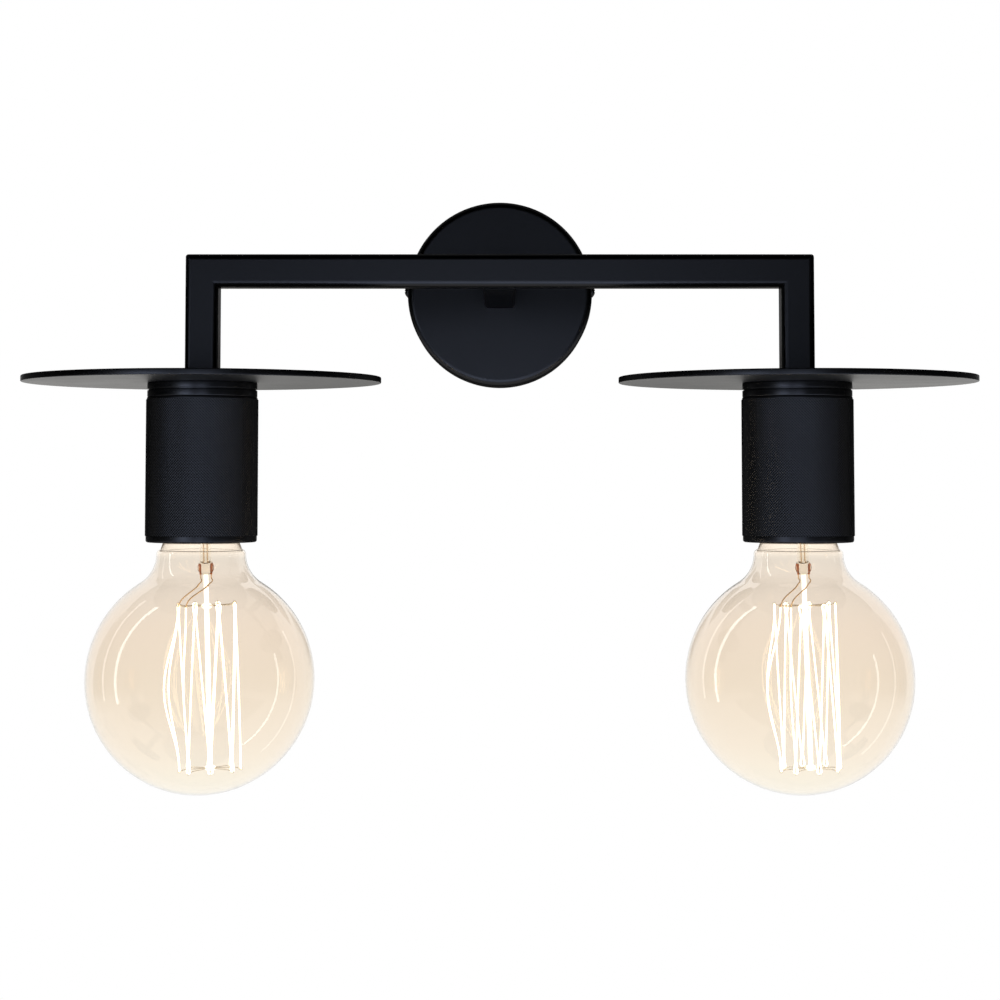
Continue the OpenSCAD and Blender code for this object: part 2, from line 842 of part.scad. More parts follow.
module terminal_screws(side) color(zinc)
    at_lamp(side)
        for (s = [-1, 1])
            translate([s * terminal_x, 0, pad_top]) {
                domed_head(terminal_head_d, terminal_head_h);
                translate([0, 0, -terminal_l]) cylinder(d = terminal_d, h = terminal_l);
            }

// Flex from the terminal block through the arm and the bar, and down to the holder
module flex(side) {
    out_x = side * lamp_pitch / 2;
    lane = side * (flex_d / 2 + lane_gap);
    block_y = -strap_t - block_t / 2;
    split = stub_low - split_drop;
    core_x = core_d / 2 + core_gap;
    wire_y = terminal_head_d / 2 + core_d / 2 + seat_gap;
    color("#2a2a2c")
        swept(rounded([
            [side * pole_pitch, block_y, block_low - seat_gap],
            [lane, block_y - split_drop, 0],
            [lane, -reach, 0],
            [out_x, -reach, 0],
            [out_x, -reach, split]
        ], wire_bend, 6), flex_d / 2, 8, [1, 0.2, 0.1]);
    color("#8a5a35")
        for (s = [-1, 1])
            swept(rounded([
                [out_x + s * core_x, -reach, split],
                [out_x + s * core_x, -reach, split - core_straight],
                [out_x + s * terminal_x, -reach - wire_y, dish_floor + core_rise],
                [out_x + s * terminal_x, -reach - wire_y, pad_top + core_stop]
            ], core_bend, 3), core_d / 2, 6, [0, 1, 0]);
}

// Half of the globe's outline, drawn in by the given amount
module globe_outline(inset) {
    intersection() {
        translate([0, -bulb_l - past]) square([globe_r + past, bulb_l + past]);
        union() {
            translate([0, globe_z]) circle(globe_r - inset, $fn = 180);
            difference() {
                polygon([[0, globe_z], [blend_x, blend_z], [0, blend_z]]);
                translate([blend_x, blend_z]) circle(neck_fillet + inset, $fn = 128);
            }
            intersection() {
                translate([neck_r - shoulder_r, blend_z]) circle(shoulder_r - inset);
                translate([0, blend_z - past]) square(neck_d);
            }
            translate([0, blend_z - past])
                square([neck_r - shoulder_r, past + shoulder_r - inset]);
            polygon([
                [0, blend_z], [neck_r - shoulder_r - inset, blend_z],
                [neck_r - shoulder_r - inset, blend_z + shoulder_r - inset],
                [cap_r - inset, seal_low - inset], [0, seal_low - inset]
            ]);
            translate([0, seal_low - 2 * glass_t])
                square([seal_r - inset, seal_z - seal_low + 2 * glass_t + (inset > 0 ? past : 0)]);
        }
    }
}

module globe(side) color(glass_tint)
    at_bulb(side)
        rotate_extrude($fn = 128)
            difference() {
                globe_outline(0);
                globe_outline(glass_t);
            }

module cap_shell(side) color(brass)
    at_bulb(side)
        rotate_extrude()
            polygon([
                [insulator_r + seat_gap, shell_top_z], [insulator_r + seat_gap + cap_t, shell_top_z],
                [cap_r, shell_shoulder_z], [cap_r, -cap_l],
                [cap_r - cap_t, -cap_l], [cap_r - cap_t, shell_shoulder_z - cap_t],
                [insulator_r + seat_gap, shell_top_z - cap_t]
            ]);

module cap_insulator(side) color("#23201e")
    at_bulb(side)
        rotate_extrude()
            polygon([
                [0, -button_h], [button_d / 2, -button_h],
                [insulator_r, cone_z], [insulator_r, insulator_low], [0, insulator_low]
            ]);

module cap_contact(side) color(zinc)
    at_bulb(side)
        rotate_extrude()
            polygon([
                [0, 0], [button_d / 2 - button_h, 0], [button_d / 2, -button_h], [0, -button_h]
            ]);

module stem(side) color(glass_tint)
    at_mount(side) {
        rotate_extrude() {
            polygon([
                [flare_r, flare_z], [flare_r - glass_t, flare_z],
                [stem_bore_r, flare_z - flare_l + glass_t], [stem_bore_r, pinch_top],
                [stem_r, pinch_top], [stem_r, flare_z - flare_l]
            ]);
            translate([0, low_ring]) square([rod_r, rod_top - low_ring]);
            for (z = [top_ring, low_ring]) button_profile(z);
        }
        translate([-pinch_w / 2, -pinch_t / 2, rod_top])
            cube([pinch_w, pinch_t, pinch_h]);
    }

// Half of a rounded glass button around the rod
module button_profile(z)
    translate([0, z])
        intersection() {
            translate([0, -button_r]) square(2 * button_r);
            union() {
                translate([0, -button_t / 2]) square([button_r - button_t / 2, button_t]);
                translate([button_r - button_t / 2, 0]) circle(button_t / 2);
            }
        }

// Angle of a hook on the top ring, and of one on the bottom ring, half a step on
function top_angle(i) = first_hook - i * 360 / hooks;
function low_angle(i) = top_angle(i + 0.5);
function on_ring(a, r, z) = [r * cos(a), r * sin(a), z];

// How far a strand bows out at mid height: in full on the slack side, fading within 45 degrees
function slack(a) =
    cos(a - slack_side) > 0 ? bow * max(0, cos(2 * (a - slack_side))) : 0;

// A strand's inner points between two hooks, and the bend around a hook
function strand(a0, z0, a1, z1) =
    let (out = slack((a0 + a1) / 2))
    let (n = out > slack_least ? 8 : 2)
    [for (k = [1 : n])
        let (u = k / (n + 1))
        on_ring(a0 + (a1 - a0) * u, cage_r + out * pow(sin(180 * u), 2), z0 + (z1 - z0) * u)];
function bend(a, z, up) =
    let (step = turn_r / cage_r * 180 / PI)
    [for (k = [-1, 0, 1]) on_ring(a - k * step, cage_r, z + up * (1 - abs(k)) * turn_r)];

// The whole filament: down and up between the rings, from one lead wire to the other
end_angle = top_angle(hooks) + end_step;
filament_path = [
    each [for (i = [0 : hooks - 1])
        let (next = i == hooks - 1 ? end_angle : top_angle(i + 1))
        each concat(
            i == 0 ? [on_ring(top_angle(0), cage_r, top_ring)] : bend(top_angle(i), top_ring, 1),
            strand(top_angle(i), top_ring, low_angle(i), low_ring),
            bend(low_angle(i), low_ring, -1),
            strand(low_angle(i), low_ring, next, top_ring)
        )],
    on_ring(end_angle, cage_r, top_ring)
];

// Least gap of the filament to itself, measured on its points
filament_gap = min([
    for (i = [0 : len(filament_path) - 6], j = [i + 5 : len(filament_path) - 1])
        norm(filament_path[i] - filament_path[j])
]) - 2 * filament_r;
echo(str("Least gap of the filament to itself: ", filament_gap, " mm"));

module filament(side) color("#ffd48a")
    at_mount(side) swept(filament_path, filament_r, 6, [1, 0, 0]);

module support_hooks(side) color(zinc)
    at_mount(side)
        for (i = [0 : hooks - 1]) {
            hook(top_angle(i), top_ring);
            hook(low_angle(i), low_ring);
        }

// Straight wire from a button out to the filament's ring
module hook(a, z) {
    rotate(a) translate([button_r + weld_gap, 0, z])
        rotate([0, 90, 0]) cylinder(r = hook_r, h = hook_tip - button_r, $fn = 16);
}

module lead_wires(side) color(zinc)
    at_mount(side) {
        ends = [filament_path[0], filament_path[len(filament_path) - 1]];
        for (i = [0, 1]) {
            way = i == 0 ? -1 : 1;
            from = [way * lead_x, 0, rod_top - lead_start];
            swept([
                [way * lead_x, 0, rod_top - weld_gap],
                from,
                from + lead_front,
                ends[i] + lead_bend,
                ends[i] + [0, 0, lead_r + filament_r + weld_gap]
            ], lead_r, 6, [0, 1, 0]);
            translate([way * stem_bore_r / 2, 0, pinch_top + weld_gap])
                cylinder(r = lead_r, h = flare_z + lead_top - pinch_top, $fn = 16);
        }
    }

wall_bracket();
backplate();
side_screws();
earth_screw();
earth_lead();
terminal_block();
block_screw();
arm_tube();
arm_plug();
arm_washer();
arm_locknut();
cross_bar();
drop_tube(-1);  // left_drop_tube
drop_plug(-1);  // left_drop_plug
disc_shade(-1);  // left_disc_shade
lock_nut(-1);  // left_lock_nut
holder_cap(-1);  // left_holder_cap
knurled_sleeve(-1);  // left_knurled_sleeve
socket_body(-1);  // left_socket_body
screw_shell(-1);  // left_screw_shell
centre_contact(-1);  // left_centre_contact
terminal_screws(-1);  // left_terminal_screws
flex(-1);  // left_flex
globe(-1);  // left_globe
cap_shell(-1);  // left_cap_shell
cap_insulator(-1);  // left_cap_insulator
cap_contact(-1);  // left_cap_contact
stem(-1);  // left_stem
lead_wires(-1);  // left_lead_wires
support_hooks(-1);  // left_support_hooks
filament(-1);  // left_filament
drop_tube(1);  // right_drop_tube
drop_plug(1);  // right_drop_plug
disc_shade(1);  // right_disc_shade
lock_nut(1);  // right_lock_nut
holder_cap(1);  // right_holder_cap
knurled_sleeve(1);  // right_knurled_sleeve
socket_body(1);  // right_socket_body
screw_shell(1);  // right_screw_shell
centre_contact(1);  // right_centre_contact
terminal_screws(1);  // right_terminal_screws
flex(1);  // right_flex
globe(1);  // right_globe
cap_shell(1);  // right_cap_shell
cap_insulator(1);  // right_cap_insulator
cap_contact(1);  // right_cap_contact
stem(1);  // right_stem
lead_wires(1);  // right_lead_wires
support_hooks(1);  // right_support_hooks
filament(1);  // right_filament
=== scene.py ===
import bpy
import bmesh
import math
from mathutils import Matrix, Vector


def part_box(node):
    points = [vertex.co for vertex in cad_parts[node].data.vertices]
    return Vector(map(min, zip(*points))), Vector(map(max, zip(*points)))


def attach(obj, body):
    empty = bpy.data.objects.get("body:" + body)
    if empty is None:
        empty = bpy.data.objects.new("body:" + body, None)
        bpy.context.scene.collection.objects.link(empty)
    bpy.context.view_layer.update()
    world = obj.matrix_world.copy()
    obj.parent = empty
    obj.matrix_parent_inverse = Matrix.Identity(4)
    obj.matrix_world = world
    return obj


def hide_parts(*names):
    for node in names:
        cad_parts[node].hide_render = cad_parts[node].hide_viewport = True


# Two-lamp wall light. Sizes in the dictionaries are millimetres, objects are in metres.
mm = 0.001
sides = ("left", "right")

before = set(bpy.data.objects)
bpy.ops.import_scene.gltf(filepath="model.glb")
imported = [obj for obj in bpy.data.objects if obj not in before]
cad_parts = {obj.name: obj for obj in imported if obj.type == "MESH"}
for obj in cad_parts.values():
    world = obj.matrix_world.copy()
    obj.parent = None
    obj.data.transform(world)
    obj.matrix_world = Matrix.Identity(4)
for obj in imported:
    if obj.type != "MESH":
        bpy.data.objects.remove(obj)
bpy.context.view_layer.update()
print("stage: frame loaded,", len(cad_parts), "nodes")


def boxOf(node):
    low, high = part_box(node)
    return [v / mm for v in low], [v / mm for v in high]


# Heights and axes that every lamp piece hangs from, read from the frame
lampX = {}
for side in sides:
    low, high = boxOf(side + "_disc_shade")
    lampX[side] = (low[0] + high[0]) / 2
lampY = (low[1] + high[1]) / 2
discLow, discTop = low[2], high[2]
capLow, capHigh = (boxOf("left_holder_cap")[i][2] for i in (0, 1))
sleeveLow, sleeveTop = (boxOf("left_knurled_sleeve")[i][2] for i in (0, 1))
bulbTip = boxOf("left_cap_contact")[1][2]
crown = boxOf("left_globe")[0][2]


def atLamp(side, z):
    return lampX[side], lampY, z


# Camera

cameraSettings = {
    "distance": 929.9,       # from the lamp axes' plane
    "height": -88.7,
    "pitch": 3.5,            # degrees up
    "focalPixels": 2213.3,
    "frame": 1000.0,
    "axisRow": 346.9,        # where the optical axis meets the picture
    "axisColumn": 499.87,
}


def makeCamera():
    c = cameraSettings
    data = bpy.data.cameras.new("photoCamera")
    data.sensor_width = 36
    data.lens = c["focalPixels"] / c["frame"] * data.sensor_width
    data.shift_y = (c["axisRow"] - c["frame"] / 2) / c["frame"]
    data.shift_x = (c["frame"] / 2 - c["axisColumn"]) / c["frame"]
    data.clip_start = 0.01
    data.clip_end = 20
    camera = bpy.data.objects.new("photoCamera", data)
    camera.location = (0, (lampY - c["distance"]) * mm, c["height"] * mm)
    camera.rotation_euler = (math.radians(90 + c["pitch"]), 0, 0)
    bpy.context.scene.collection.objects.link(camera)
    bpy.context.scene.camera = camera


makeCamera()
print("stage: camera")


# Node helpers, and the groups shared by the materials

def setInputs(node, values):
    for entry, value in values.items():
        node.inputs[entry].default_value = value


def addNode(nodes, kind, values=None, operation=None):
    # A shader node with the given values on its inputs
    node = nodes.new("ShaderNode" + kind)
    if operation:
        node.operation = operation
    setInputs(node, values or {})
    return node


def wire(links, *joins):
    # Each join is a node, its output, the node that it feeds and the input there
    for source, output, target, entry in joins:
        links.new(source.outputs[output], target.inputs[entry])


def startGroup(name, entries, results):
    group = bpy.data.node_groups.new(name, "ShaderNodeTree")
    for entry, value in entries.items():
        socket = group.interface.new_socket(name=entry, in_out="INPUT",
                                            socket_type="NodeSocketFloat")
        socket.default_value = value
    for result in results:
        group.interface.new_socket(name=result, in_out="OUTPUT", socket_type="NodeSocketFloat")
    nodes = group.nodes
    return group, nodes, nodes.new("NodeGroupInput"), nodes.new("NodeGroupOutput")


def makeGrainGroup():
    # Fine two-scale unevenness: a height for Bump and a roughness that follows it
    group, nodes, inside, outside = startGroup(
        "surfaceGrain", {"Scale": 900.0, "Low": 0.35, "High": 0.45},
        ("Height", "Roughness", "Mask"))
    coords = addNode(nodes, "TexCoord")
    fine = addNode(nodes, "TexNoise", {"Detail": 3})
    broad = addNode(nodes, "TexNoise", {"Detail": 2})
    broadScale = addNode(nodes, "Math", {1: 0.04}, "MULTIPLY")
    blend = addNode(nodes, "Mix", {"Factor": 0.35})
    rough = addNode(nodes, "MapRange", {"From Min": 0.35, "From Max": 0.65})
    wire(group.links,
         (coords, "Object", fine, "Vector"), (coords, "Object", broad, "Vector"),
         (inside, "Scale", fine, "Scale"), (inside, "Scale", broadScale, 0),
         (broadScale, 0, broad, "Scale"), (fine, "Fac", blend, "A"), (broad, "Fac", blend, "B"),
         (blend, "Result", rough, "Value"), (inside, "Low", rough, "To Min"),
         (inside, "High", rough, "To Max"), (fine, "Fac", outside, "Height"),
         (rough, "Result", outside, "Roughness"), (broad, "Fac", outside, "Mask"))
    return group


def makeDustGroup():
    # Thin dust that lies on faces turned up, broken by noise
    group, nodes, inside, outside = startGroup(
        "restingDust", {"Amount": 0.1, "Scale": 120.0}, ("Mask",))
    geometry = addNode(nodes, "NewGeometry")
    split = addNode(nodes, "SeparateXYZ")
    facing = addNode(nodes, "MapRange", {"From Min": 0.5})
    coords = addNode(nodes, "TexCoord")
    noise = addNode(nodes, "TexNoise", {"Detail": 6})
    spread = addNode(nodes, "MapRange", {"From Min": 0.4, "From Max": 0.75})
    both = addNode(nodes, "Math", operation="MULTIPLY")
    amount = addNode(nodes, "Math", operation="MULTIPLY")
    wire(group.links,
         (geometry, "Normal", split, 0), (split, "Z", facing, "Value"),
         (coords, "Object", noise, "Vector"), (inside, "Scale", noise, "Scale"),
         (noise, "Fac", spread, "Value"), (facing, "Result", both, 0),
         (spread, "Result", both, 1), (both, 0, amount, 0), (inside, "Amount", amount, 1),
         (amount, 0, outside, "Mask"))
    return group


grainGroup = makeGrainGroup()
dustGroup = makeDustGroup()


def startMaterial(name):
    material = bpy.data.materials.new(name)
    material.use_nodes = True
    tree = material.node_tree
    shader = next(n for n in tree.nodes if n.type == "BSDF_PRINCIPLED")
    return material, tree.nodes, tree.links, shader


def addGrain(nodes, links, shader, scale, low, high, bump, reach):
    grain = nodes.new("ShaderNodeGroup")
    grain.node_tree = grainGroup
    setInputs(grain, {"Scale": scale, "Low": low, "High": high})
    relief = addNode(nodes, "Bump", {"Strength": bump, "Distance": reach})
    wire(links, (grain, "Height", relief, "Height"), (relief, "Normal", shader, "Normal"),
         (grain, "Roughness", shader, "Roughness"))
    return grain


def mixColours(nodes, links, factor, first, second):
    mix = nodes.new("ShaderNodeMix")
    mix.data_type = "RGBA"
    setInputs(mix, {"A": (*first, 1), "B": (*second, 1)})
    links.new(factor, mix.inputs["Factor"])
    return mix


coatSettings = {
    "reach": 0.00004,                     # depth of the orange peel, in metres
    "dust": 0.03, "dustColour": (0.16, 0.155, 0.15), "flakeTint": (0.15, 0.15, 0.15, 1),
}


def makeCoat(name, low, high, bump, scale, colour, level, flake):
    # Baked satin paint: a deep cool black with a fine orange peel and a trace of dust;
    # flake is the share of dark metal pigment, which keeps the edges dark
    s = coatSettings
    material, nodes, links, shader = startMaterial(name)
    addGrain(nodes, links, shader, scale, low, high, bump, s["reach"])
    dust = nodes.new("ShaderNodeGroup")
    dust.node_tree = dustGroup
    dust.inputs["Amount"].default_value = s["dust"]
    mix = mixColours(nodes, links, dust.outputs["Mask"], colour, s["dustColour"])
    links.new(mix.outputs["Result"], shader.inputs["Base Color"])
    tint = s["flakeTint"] if flake else (1, 1, 1, 1)
    setInputs(shader, {"Specular IOR Level": level, "Metallic": flake, "Specular Tint": tint})
    return material


grainReach = 0.00003                      # depth of the grain on bare metal and plastic, in metres
glassReach = 0.0002                       # and of the unevenness of glass


def makeMetal(name, colour, dark, low, high, bump, scale, metallic=1):
    material, nodes, links, shader = startMaterial(name)
    grain = addGrain(nodes, links, shader, scale, low, high, bump, grainReach)
    mix = mixColours(nodes, links, grain.outputs["Mask"], colour, dark)
    links.new(mix.outputs["Result"], shader.inputs["Base Color"])
    shader.inputs["Metallic"].default_value = metallic
    return material


def makeMoulded(name, colour, dark, low, high):
    return makeMetal(name, colour, dark, low, high, 0.1, 700, 0)


def makeStriped(name, colour, stripe, across):
    # Insulated wire with a stripe along it
    material, nodes, links, shader = startMaterial(name)
    addGrain(nodes, links, shader, 500, 0.4, 0.5, 0.05, grainReach)
    coords = addNode(nodes, "TexCoord")
    wave = addNode(nodes, "TexWave", {"Scale": across})
    wave.bands_direction = "DIAGONAL"
    step = addNode(nodes, "MapRange", {"From Min": 0.55, "From Max": 0.62})
    wire(links, (coords, "Object", wave, "Vector"), (wave, "Fac", step, "Value"))
    mix = mixColours(nodes, links, step.outputs["Result"], colour, stripe)
    links.new(mix.outputs["Result"], shader.inputs["Base Color"])
    return material


def makeGlass(name, colours, low, bump=0.02, paintedNeckGlow=()):
    # Blown glass, clear, with a faint unevenness; colours is one tint or a list of (z, tint),
    # paintedNeckGlow is (low z, high z, colour) of a painted glow rising up the neck, an emission
    # that stands in for the filament's light carried up the glass
    material, nodes, links, shader = startMaterial(name)
    setInputs(shader, {"Transmission Weight": 1, "IOR": 1.5})
    grain = addGrain(nodes, links, shader, 60, low, low + 0.01, bump, glassReach)
    if not bump:
        links.remove(shader.inputs["Normal"].links[0])
    if not isinstance(colours, list):
        mix = mixColours(nodes, links, grain.outputs["Mask"], colours, [c * 0.99 for c in colours])
        links.new(mix.outputs["Result"], shader.inputs["Base Color"])
        return material
    bottom, top = colours[0][0], colours[-1][0]
    coords = addNode(nodes, "TexCoord")
    split = addNode(nodes, "SeparateXYZ")
    height = addNode(nodes, "MapRange", {"From Min": bottom, "From Max": top})
    ramp = addNode(nodes, "ValToRGB")
    marks = ramp.color_ramp.elements
    marks[0].color = (*colours[0][1], 1)
    marks[1].color = (*colours[-1][1], 1)
    for z, tint in colours[1:-1]:
        marks.new((z - bottom) / (top - bottom)).color = (*tint, 1)
    wire(links, (coords, "Object", split, 0), (split, "Z", height, "Value"),
         (height, "Result", ramp, "Fac"), (ramp, "Color", shader, "Base Color"))
    # painted glow: emission that rises from nothing to the given colour towards the neck
    if paintedNeckGlow:
        rise = addNode(nodes, "MapRange", {"From Min": paintedNeckGlow[0], "From Max": paintedNeckGlow[1]})
        links.new(split.outputs["Z"], rise.inputs["Value"])
        mix = mixColours(nodes, links, rise.outputs["Result"], (0, 0, 0), paintedNeckGlow[2])
        links.new(mix.outputs["Result"], shader.inputs["Emission Color"])
        shader.inputs["Emission Strength"].default_value = 1
    return material


def makeGlow(name, colour, dim, strength, mirrored):
    # Incandescent carbon: white hot, a little cooler where noise thins it
    material, nodes, links, shader = startMaterial(name)
    coords = addNode(nodes, "TexCoord")
    noise = addNode(nodes, "TexNoise", {"Scale": 90})
    hot = mixColours(nodes, links, noise.outputs["Fac"], colour, dim)
    path = addNode(nodes, "LightPath")                  # softer in a reflection than straight on
    mix = mixColours(nodes, links, path.outputs["Is Glossy Ray"], colour,
                     [c * mirrored for c in colour])
    wire(links, (coords, "Object", noise, "Vector"), (hot, "Result", mix, "A"),
         (mix, "Result", shader, "Emission Color"))
    setInputs(shader, {"Emission Strength": strength, "Base Color": (0.08, 0.06, 0.05, 1),
                       "Roughness": 0.6})
    return material


satinBlack = makeCoat("satinBlack", 0.28, 0.34, 0.12, 1400, (0.027, 0.027, 0.028), 0.3, 0.95)
discBlack = makeCoat("discBlack", 0.34, 0.42, 0.12, 1400, (0.005, 0.0053, 0.0055), 0.4, 0.0)
knurlBlack = makeCoat("knurlBlack", 0.3, 0.38, 0.10, 2200, (0.027, 0.027, 0.028), 0.3, 0.95)
zincPlate = makeMetal("zincPlate", (0.62, 0.63, 0.65), (0.5, 0.51, 0.5), 0.28, 0.45, 0.12, 500)
turnedBrass = makeMetal("turnedBrass", (0.82, 0.62, 0.28), (0.66, 0.47, 0.2), 0.2, 0.36, 0.1, 600)
rolledCap = makeMetal("rolledCap", (0.8, 0.66, 0.38), (0.66, 0.53, 0.28), 0.18, 0.3, 0.08, 700)
drawnNickel = makeMetal("drawnNickel", (0.66, 0.6, 0.52), (0.5, 0.43, 0.34), 0.2, 0.35, 0.05, 900)
warmWire = makeMetal("warmWire", (0.85, 0.62, 0.38), (0.7, 0.48, 0.28), 0.2, 0.35, 0.05, 900)
sealWire = makeMetal("sealWire", (0.72, 0.27, 0.1), (0.55, 0.18, 0.07), 0.3, 0.45, 0.05, 900)
dullSolder = makeMetal("dullSolder", (0.6, 0.6, 0.6), (0.42, 0.42, 0.43), 0.35, 0.55, 0.2, 400)
whiteNylon = makeMoulded("whiteNylon", (0.82, 0.82, 0.79), (0.74, 0.74, 0.7), 0.4, 0.52)
glazedPorcelain = makeMoulded("glazedPorcelain", (0.84, 0.82, 0.77), (0.76, 0.73, 0.67), 0.12, 0.22)
blackVitrite = makeMoulded("blackVitrite", (0.012, 0.01, 0.012), (0.03, 0.022, 0.02), 0.08, 0.2)
darkFlex = makeMoulded("darkFlex", (0.03, 0.03, 0.033), (0.045, 0.045, 0.048), 0.4, 0.5)
brownCore = makeMoulded("brownCore", (0.18, 0.075, 0.03), (0.14, 0.06, 0.025), 0.4, 0.5)
earthStripe = makeStriped("earthStripe", (0.1, 0.32, 0.05), (0.75, 0.62, 0.03), 90)
# Amber glass whose tint is lightest at the crown and a little darker towards the neck; the lighter
# crown is painted light. The last entry is the painted glow on the neck.
amberGlass = makeGlass("amberGlass", [
    (-0.218, (0.995, 0.965, 0.885)), (-0.2, (0.972, 0.913, 0.828)), (-0.171, (0.938, 0.866, 0.771)),
    (-0.15, (0.937, 0.86, 0.772)), (-0.128, (0.92, 0.86, 0.79)), (-0.116, (0.9, 0.855, 0.79)),
], 0.0, 0, (-0.1205, -0.1165, (0.075, 0.064, 0.053)))
setInputs(amberGlass.node_tree.nodes["Principled BSDF"], {"Specular Tint": (0.5, 0.5, 0.5, 1)})
stemGlass = makeGlass("stemGlass", (0.97, 0.95, 0.9), 0.0)
pinchGlass = makeGlass("pinchGlass", (0.98, 0.92, 0.82), 0.02)
rodGlass = makeGlass("rodGlass", (0.99, 0.98, 0.95), 0.1)
setInputs(rodGlass.node_tree.nodes["Principled BSDF"], {    # with a painted glow: emission standing in for light the glass carries
    "Transmission Weight": 0.35, "Emission Color": (1, 0.96, 0.88, 1), "Emission Strength": 0.7,
})
hotCarbon = makeGlow("hotCarbon", (1.0, 0.86, 0.6), (1.0, 0.78, 0.46), 14.0, 0.36)
print("stage: materials")


# Mesh helpers

def addPiece(name, part, material, body, nodes=(), angle=35):
    # Part is (vertices, faces) in millimetres; edges sharper than the angle stay sharp
    mesh = bpy.data.meshes.new(name)
    mesh.from_pydata([[v * mm for v in p] for p in part[0]], [], part[1])
    shape = bmesh.new()
    shape.from_mesh(mesh)
    bmesh.ops.recalc_face_normals(shape, faces=shape.faces)
    shape.to_mesh(mesh)
    shape.free()
    mesh.materials.append(material)
    shadeSmooth(mesh, angle)
    piece = bpy.data.objects.new(name, mesh)
    bpy.context.scene.collection.objects.link(piece)
    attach(piece, body)
    if nodes:
        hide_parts(*nodes)
    return piece


def shadeSmooth(mesh, angle):
    mesh.polygons.foreach_set("use_smooth", [True] * len(mesh.polygons))
    mesh.set_sharp_from_angle(angle=math.radians(angle))


def evenly(low, high, count):
    # Values from low to high in equal steps
    return [low + (high - low) * k / count for k in range(count + 1)]


def turnsOf(count):
    return [2 * math.pi * k / count for k in range(count)]


def arcPoints(centre, radius, start, end, steps):
    return [(centre[0] + radius * math.cos(a), centre[1] + radius * math.sin(a))
            for a in map(math.radians, evenly(start, end, steps))]


def cornerArc(here, before, after, half, radius, steps):
    # Arc that rounds a corner, with the directions to its neighbours and half of its angle
    middle = here + (before + after).normalized() * radius / math.sin(half)
    a = here + before * radius / math.tan(half) - middle
    b = here + after * radius / math.tan(half) - middle
    turn = math.pi - 2 * half
    return [middle + (a * math.sin(turn * (1 - u)) + b * math.sin(turn * u)) / math.sin(turn)
            for u in evenly(0, 1, steps)]


def roundedOutline(points, steps=4):
    # A closed outline of (r, z, radius): each corner becomes an arc of its radius
    out = []
    for i, (x, z, radius) in enumerate(points):
        if radius <= 0:
            out.append((x, z))
            continue
        here = Vector((x, z))
        before = (Vector(points[i - 1][:2]) - here).normalized()
        after = (Vector(points[(i + 1) % len(points)][:2]) - here).normalized()
        half = math.acos(max(-1, min(1, before.dot(after)))) / 2
        if abs(math.sin(half)) < 1e-6 or abs(half - math.pi / 2) < 1e-3:
            out.append((x, z))
            continue
        out += [tuple(p) for p in cornerArc(here, before, after, half, radius, steps)]
    return out


def bridge(one, two, faces):
    # Faces between two rows of vertices, with three corners where two of them meet
    for k in range(len(one)):
        n = (k + 1) % len(one)
        ring = [one[k], one[n], two[n], two[k]]
        face = [v for j, v in enumerate(ring) if v not in ring[:j]]
        if len(face) > 2:
            faces.append(face)


def revolve(outline, segments, centre, radiusAt=None):
    # Turns an outline of (r, z) about a vertical axis; radiusAt may change r by row and column
    verts, faces, rows = [], [], []
    for i, (r, z) in enumerate(outline):
        if r < 1e-6:
            rows.append([len(verts)] * segments)
            verts.append((centre[0], centre[1], centre[2] + z))
            continue
        rows.append(list(range(len(verts), len(verts) + segments)))
        for k, a in enumerate(turnsOf(segments)):
            here = radiusAt(i, k, r) if radiusAt else r
            verts.append((centre[0] + here * math.cos(a), centre[1] + here * math.sin(a),
                          centre[2] + z))
    for one, two in zip(rows, rows[1:] + rows[:1]):
        bridge(one, two, faces)
    return verts, faces


def loft(rings):
    # Open skin over rings of points, with its rows of vertices for closing the ends
    count = len(rings[0])
    rows = [list(range(i * count, (i + 1) * count)) for i in range(len(rings))]
    faces = []
    for one, two in zip(rows, rows[1:]):
        bridge(one, two, faces)
    return [p for ring in rings for p in ring], faces, rows


def sweep(path, radius, sides):
    # A round tube along a path, carried without twist
    points = [Vector(p) for p in path]
    heading = []
    for i in range(len(points)):
        back = points[i] - points[i - 1] if i else points[1] - points[0]
        ahead = points[i + 1] - points[i] if i < len(points) - 1 else back
        heading.append((back.normalized() + ahead.normalized()).normalized())
    side = heading[0].orthogonal().normalized()
    turns, rings = turnsOf(sides), []
    for point, along in zip(points, heading):
        side = (side - along * side.dot(along)).normalized()
        other = along.cross(side)
        rings.append([point + radius * (side * math.cos(a) + other * math.sin(a)) for a in turns])
    verts, faces, rows = loft(rings)
    return verts, faces + [rows[0][::-1], rows[-1]]


def joined(*parts):
    verts, faces = [], []
    for v, f in parts:
        start = len(verts)
        verts += v
        faces += [[start + k for k in face] for face in f]
    return verts, faces


def moved(part, matrix):
    return [matrix @ Vector(v) for v in part[0]], part[1]


def roundedPath(corners, radius, steps):
    points = [Vector(c) for c in corners]
    out = [points[0]]
    for i in range(1, len(points) - 1):
        before = (points[i - 1] - points[i]).normalized()
        after = (points[i + 1] - points[i]).normalized()
        out += cornerArc(points[i], before, after, before.angle(after) / 2, radius, steps)
    out.append(points[-1])
    return out


def smoothPath(points, steps):
    # Catmull-Rom through the points
    p = [Vector(q) for q in points]
    p = [p[0] * 2 - p[1]] + p + [p[-1] * 2 - p[-2]]
    out = []
    for i in range(1, len(p) - 2):
        for k in range(steps):
            t = k / steps
            out.append(0.5 * (2 * p[i] + (p[i + 1] - p[i - 1]) * t
                              + (2 * p[i - 1] - 5 * p[i] + 4 * p[i + 1] - p[i + 2]) * t * t
                              + (3 * p[i] - p[i - 1] - 3 * p[i + 1] + p[i + 2]) * t * t * t))
    out.append(p[-2])
    return out


def threadWave(z, k, pitch, segments):
    # Height of a right-hand thread, from 0 at its root to 1 at its crest
    return 0.5 + 0.5 * math.cos(2 * math.pi * (z / pitch - k / segments))


def paint(node, material):
    # Gives a carried-over node its finish
    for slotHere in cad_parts[node].material_slots:
        slotHere.material = material


# Carried-over nodes

